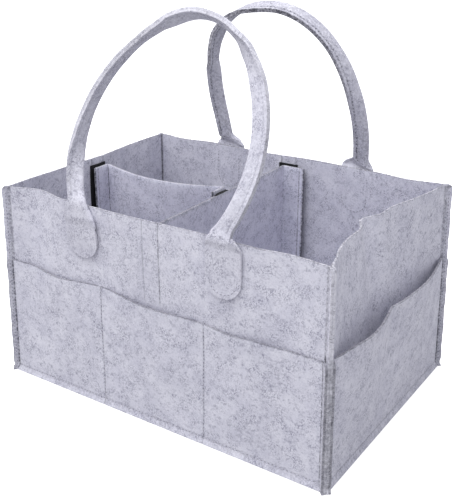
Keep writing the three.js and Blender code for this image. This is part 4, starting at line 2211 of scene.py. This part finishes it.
@dataclass
class Studio:
    """A white studio: a pale floor, soft light from the front left, and the camera."""

    camera_place: Point = (388, -580, 408)
    yaw_degrees: float = 33.9
    pitch_degrees: float = 22.5
    focal_pixels: float = 842
    frame_pixels: float = 500
    sensor: float = 36
    clip_metres: Pair = (0.01, 20)
    floor_metres: float = 12
    floor_drop: float = 0.2
    floor_colour: str = "#f4f4f4"
    floor_glow: float = 0.6
    bounce_colour: str = "#b4b4b4"
    white: str = "#ffffff"
    sky_colour: str = "#f8f8ff"
    sky_strength: float = 0.82
    aim: Point = (0, 0, 120)
    lamps: tuple[Lamp, ...] = (
        Lamp("key", (-650, -1500, 1250), 900, 1.9, "#fffaf4"),
        Lamp("top", (-250, -450, 2000), 1400, 37.0, "#ffffff"),
    )

    def build(self) -> None:
        """Makes the camera, the floor, the world and the lamps."""
        self._camera()
        self._floor()
        self._world()
        for lamp in self.lamps:
            self._lamp(lamp)
        bpy.context.scene.view_settings.view_transform = "Standard"

    def _camera(self) -> None:
        """Makes the camera at the photograph's angle."""
        data = bpy.data.cameras.new("camera")
        data.sensor_width = self.sensor
        data.lens = self.focal_pixels / self.frame_pixels * self.sensor
        data.clip_start, data.clip_end = self.clip_metres
        camera = bpy.data.objects.new("camera", data)
        bpy.context.collection.objects.link(camera)
        camera.location = Vector(self.camera_place) * MM
        tilt, yaw = math.radians(90 - self.pitch_degrees), math.radians(self.yaw_degrees)
        camera.rotation_euler = (tilt, 0, yaw)
        bpy.context.scene.camera = camera

    def _floor(self) -> None:
        """Makes a plain floor that looks white and keeps the caddy's shadow."""
        deselect()
        bpy.ops.mesh.primitive_plane_add(size=self.floor_metres)
        floor = bpy.context.object
        floor.name = "floor"
        floor.location.z = -self.floor_drop * MM
        material, tree, output = new_material("floor_white")
        matt = add_node(tree, "ShaderNodeBsdfDiffuse", {"Color": linear(self.floor_colour)})
        glow = add_node(
            tree, "ShaderNodeEmission",
            {"Color": linear(self.white), "Strength": self.floor_glow},
        )
        both = add_node(tree, "ShaderNodeAddShader", {}, {0: matt.outputs[0], 1: glow.outputs[0]})
        bounce = add_node(tree, "ShaderNodeBsdfDiffuse", {"Color": linear(self.bounce_colour)})
        self._seen_or_not(tree, output, both, bounce)
        floor.data.materials.append(material)

    @staticmethod
    def _seen_or_not(tree: Tree, output: bpy.types.Node, seen: bpy.types.Node,
                     unseen: bpy.types.Node) -> None:
        """Ends a tree with one shader for the rays that show it and another for the rest.

        Args:
            tree: The node tree.
            output: Its output node.
            seen: The shader for camera, glossy and transmission rays.
            unseen: The shader for all other rays.
        """
        path = add_node(tree, "ShaderNodeLightPath")
        shown = path.outputs["Is Camera Ray"]
        for kind in ("Is Glossy Ray", "Is Transmission Ray"):
            shown = add_node(
                tree, "ShaderNodeMath", {"operation": "MAXIMUM"},
                {0: shown, 1: path.outputs[kind]},
            ).outputs[0]
        links = {0: shown, 1: unseen.outputs[0], 2: seen.outputs[0]}
        mix = add_node(tree, "ShaderNodeMixShader", {}, links)
        tree.links.new(mix.outputs[0], output.inputs["Surface"])

    def _world(self) -> None:
        """Makes a pale sky that gives the soft light, and shows as white."""
        world = bpy.data.worlds.new("studio")
        bpy.context.scene.world = world
        world.use_nodes = True
        tree = world.node_tree
        tree.nodes.clear()
        output = add_node(tree, "ShaderNodeOutputWorld")
        light, white = (
            add_node(tree, "ShaderNodeBackground", {"Color": linear(colour), "Strength": strength})
            for colour, strength in ((self.sky_colour, self.sky_strength), (self.white, 1.0))
        )
        self._seen_or_not(tree, output, white, light)

    def _lamp(self, lamp: Lamp) -> None:
        """Makes a lamp that points at the caddy.

        Args:
            lamp: The lamp.
        """
        data = bpy.data.lights.new(lamp.name, "AREA")
        data.shape = "SQUARE"
        data.size = lamp.size * MM
        data.energy = lamp.power
        data.color = linear(lamp.colour)[:3]
        light = bpy.data.objects.new(lamp.name, data)
        bpy.context.collection.objects.link(light)
        light.location = Vector(lamp.place) * MM
        aim = Vector(self.aim) * MM - light.location
        light.rotation_euler = aim.to_track_quat("-Z", "Y").to_euler()


# The caddy


def stitch_lines(form: BoxForm) -> tuple[dict[str, dict[float, float]], ...]:
    """How much shade is painted along the upright stitch lines, by side and by place along it.

    Args:
        form: The box's shape.

    Returns:
        The lines of the walls, and the lines of the pocket panels.
    """
    walls = {
        "front": {-8.0: 0.4, 8.0: 0.7, -52.6: 0.0, 52.6: 0.0},
        "back": {-8.0: 0.5, 8.0: 0.5, -52.6: 0.0, 52.6: 0.0},
        "left": {-8.75: 0.5, 7.25: 0.5},
        "right": {},
    }
    parted = {-52.6: 0.75, 52.6: 0.75}
    pockets = {name: parted if name in ("front", "back") else {} for name in form.sides}
    return walls, pockets


def front_handle(form: BoxForm, finishes: Finishes) -> Handle:
    """The handle at the front, which turns edge-on over its left foot and back past its crown.

    Args:
        form: The box's shape.
        finishes: The caddy's finishes.

    Returns:
        The handle.
    """
    return Handle(
        "front_handle", form, finishes, form.sides["front"],
        Arch(
            crown=13.5, rise=158.4, foot_pulls=(98, 68.3), foot_swings=(32.4, 45.8),
            crown_pulls=(33.1, 58.5), lean_degrees=20.2,
        ),
        turns=(
            (0, 0), (0.03, 15), (0.06, 42), (0.09, 62), (0.11, 75), (0.14, 87), (0.2, 97),
            (0.3, 101), (0.36, 105), (0.41, 96), (0.45, 76), (0.53, 80), (0.6, 67), (0.65, 36),
            (0.72, 12), (0.8, 10), (0.9, 7), (1, 0),
        ),
        feet=(
            Foot(place=73.5, fold_low=-24, fold_high=9, edge_low=-12, edge_high=6),
            Foot(place=66.3, fold_low=-9, fold_high=5, edge_low=-10, edge_high=12),
        ),
    )


def rear_handle(form: BoxForm, finishes: Finishes) -> Handle:
    """The handle at the rear, which turns over once, so that its first foot is flipped.

    Args:
        form: The box's shape.
        finishes: The caddy's finishes.

    Returns:
        The handle.
    """
    return Handle(
        "rear_handle", form, finishes, form.sides["back"],
        Arch(
            crown=2.7, rise=144.1, foot_pulls=(133, 123.4), foot_swings=(8.4, 26),
            crown_pulls=(14.6, 45.8), lean_degrees=14.4,
        ),
        turns=(
            (0, -180), (0.05, -170), (0.13, -148), (0.22, -115), (0.32, -98), (0.44, -97),
            (0.52, -100), (0.64, -75), (0.69, -62), (0.73, -75), (0.765, -84), (0.81, -35),
            (0.95, -15), (1, 0),
        ),
        feet=(
            Foot(place=73.5, fold_low=-6, fold_high=8, edge_low=-2, edge_high=8, flipped=True),
            Foot(place=73.5, fold_low=-4, fold_high=9, edge_low=-4, edge_high=8),
        ),
        seam_shade=0.7, raw_shade=0.4, foot_shade=0.2, crown_shade=0.22,
    )


def dividers(form: BoxForm, finishes: Finishes) -> list[Divider]:
    """The cross divider from wall to wall, and the long one that meets it.

    Args:
        form: The box's shape.
        finishes: The caddy's finishes.

    Returns:
        The two dividers.
    """
    cross_out = 102.2
    left, right = -147.9, -14.35
    return [
        Divider(
            "cross_divider", form, finishes,
            ((14, -cross_out), (-5, -cross_out), (-3.5, cross_out), (19.5, cross_out)),
            bow=(-4, 0), sag=2, top_shade=0.4, fold_shade=0.15,
        ),
        Divider(
            "long_divider", form, finishes, ((left, -8), (left, 11), (right, 16), (right, -3)),
            bow=(0, -8.5), sag=3.3,
        ),
    ]


def tapes(form: BoxForm, finishes: Finishes) -> list[Pad | Tape]:
    """The loop pads on the walls, and the tapes that ride the dividers.

    Args:
        form: The box's shape.
        finishes: The caddy's finishes.

    Returns:
        The pads and the tapes.
    """
    pads = [
        Pad(form, finishes.loop, form.sides["front"]),
        Pad(form, finishes.loop, form.sides["back"], top=173.2, length=147.2),
        Pad(form, finishes.loop, form.sides["left"], -0.75),
    ]
    loop = Tape("cross_divider_loop_pad", "cross_divider", "loop_tape", finishes.loop)
    hooks = [
        Tape(f"{divider}_hook_{end}", divider, "hook_tape", finishes.hook)
        for divider, ends in (
            ("cross_divider", ("front", "back")), ("long_divider", ("left", "right")),
        )
        for end in ends
    ]
    return [*pads, loop, *hooks]


def main() -> None:
    """Builds the caddy round its frame."""
    logging.basicConfig(level=logging.INFO, format="%(name)s %(message)s")
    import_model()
    Studio().build()
    finishes = Finishes()
    form = BoxForm()
    wall_lines, pocket_lines = stitch_lines(form)
    pockets = Pockets(form, finishes)
    handles = [front_handle(form, finishes), rear_handle(form, finishes)]
    report([Base(form, finishes).build()])
    report(Walls(form, finishes).build(wall_lines))
    report(pockets.build(pocket_lines))
    for part in (*handles, *dividers(form, finishes), *tapes(form, finishes)):
        report([part.build()])
    seams = Stitching(form, finishes, pockets, handles, tuple(pocket_lines["front"]))
    report(seams.build())


if __name__ == "__main__":
    main()
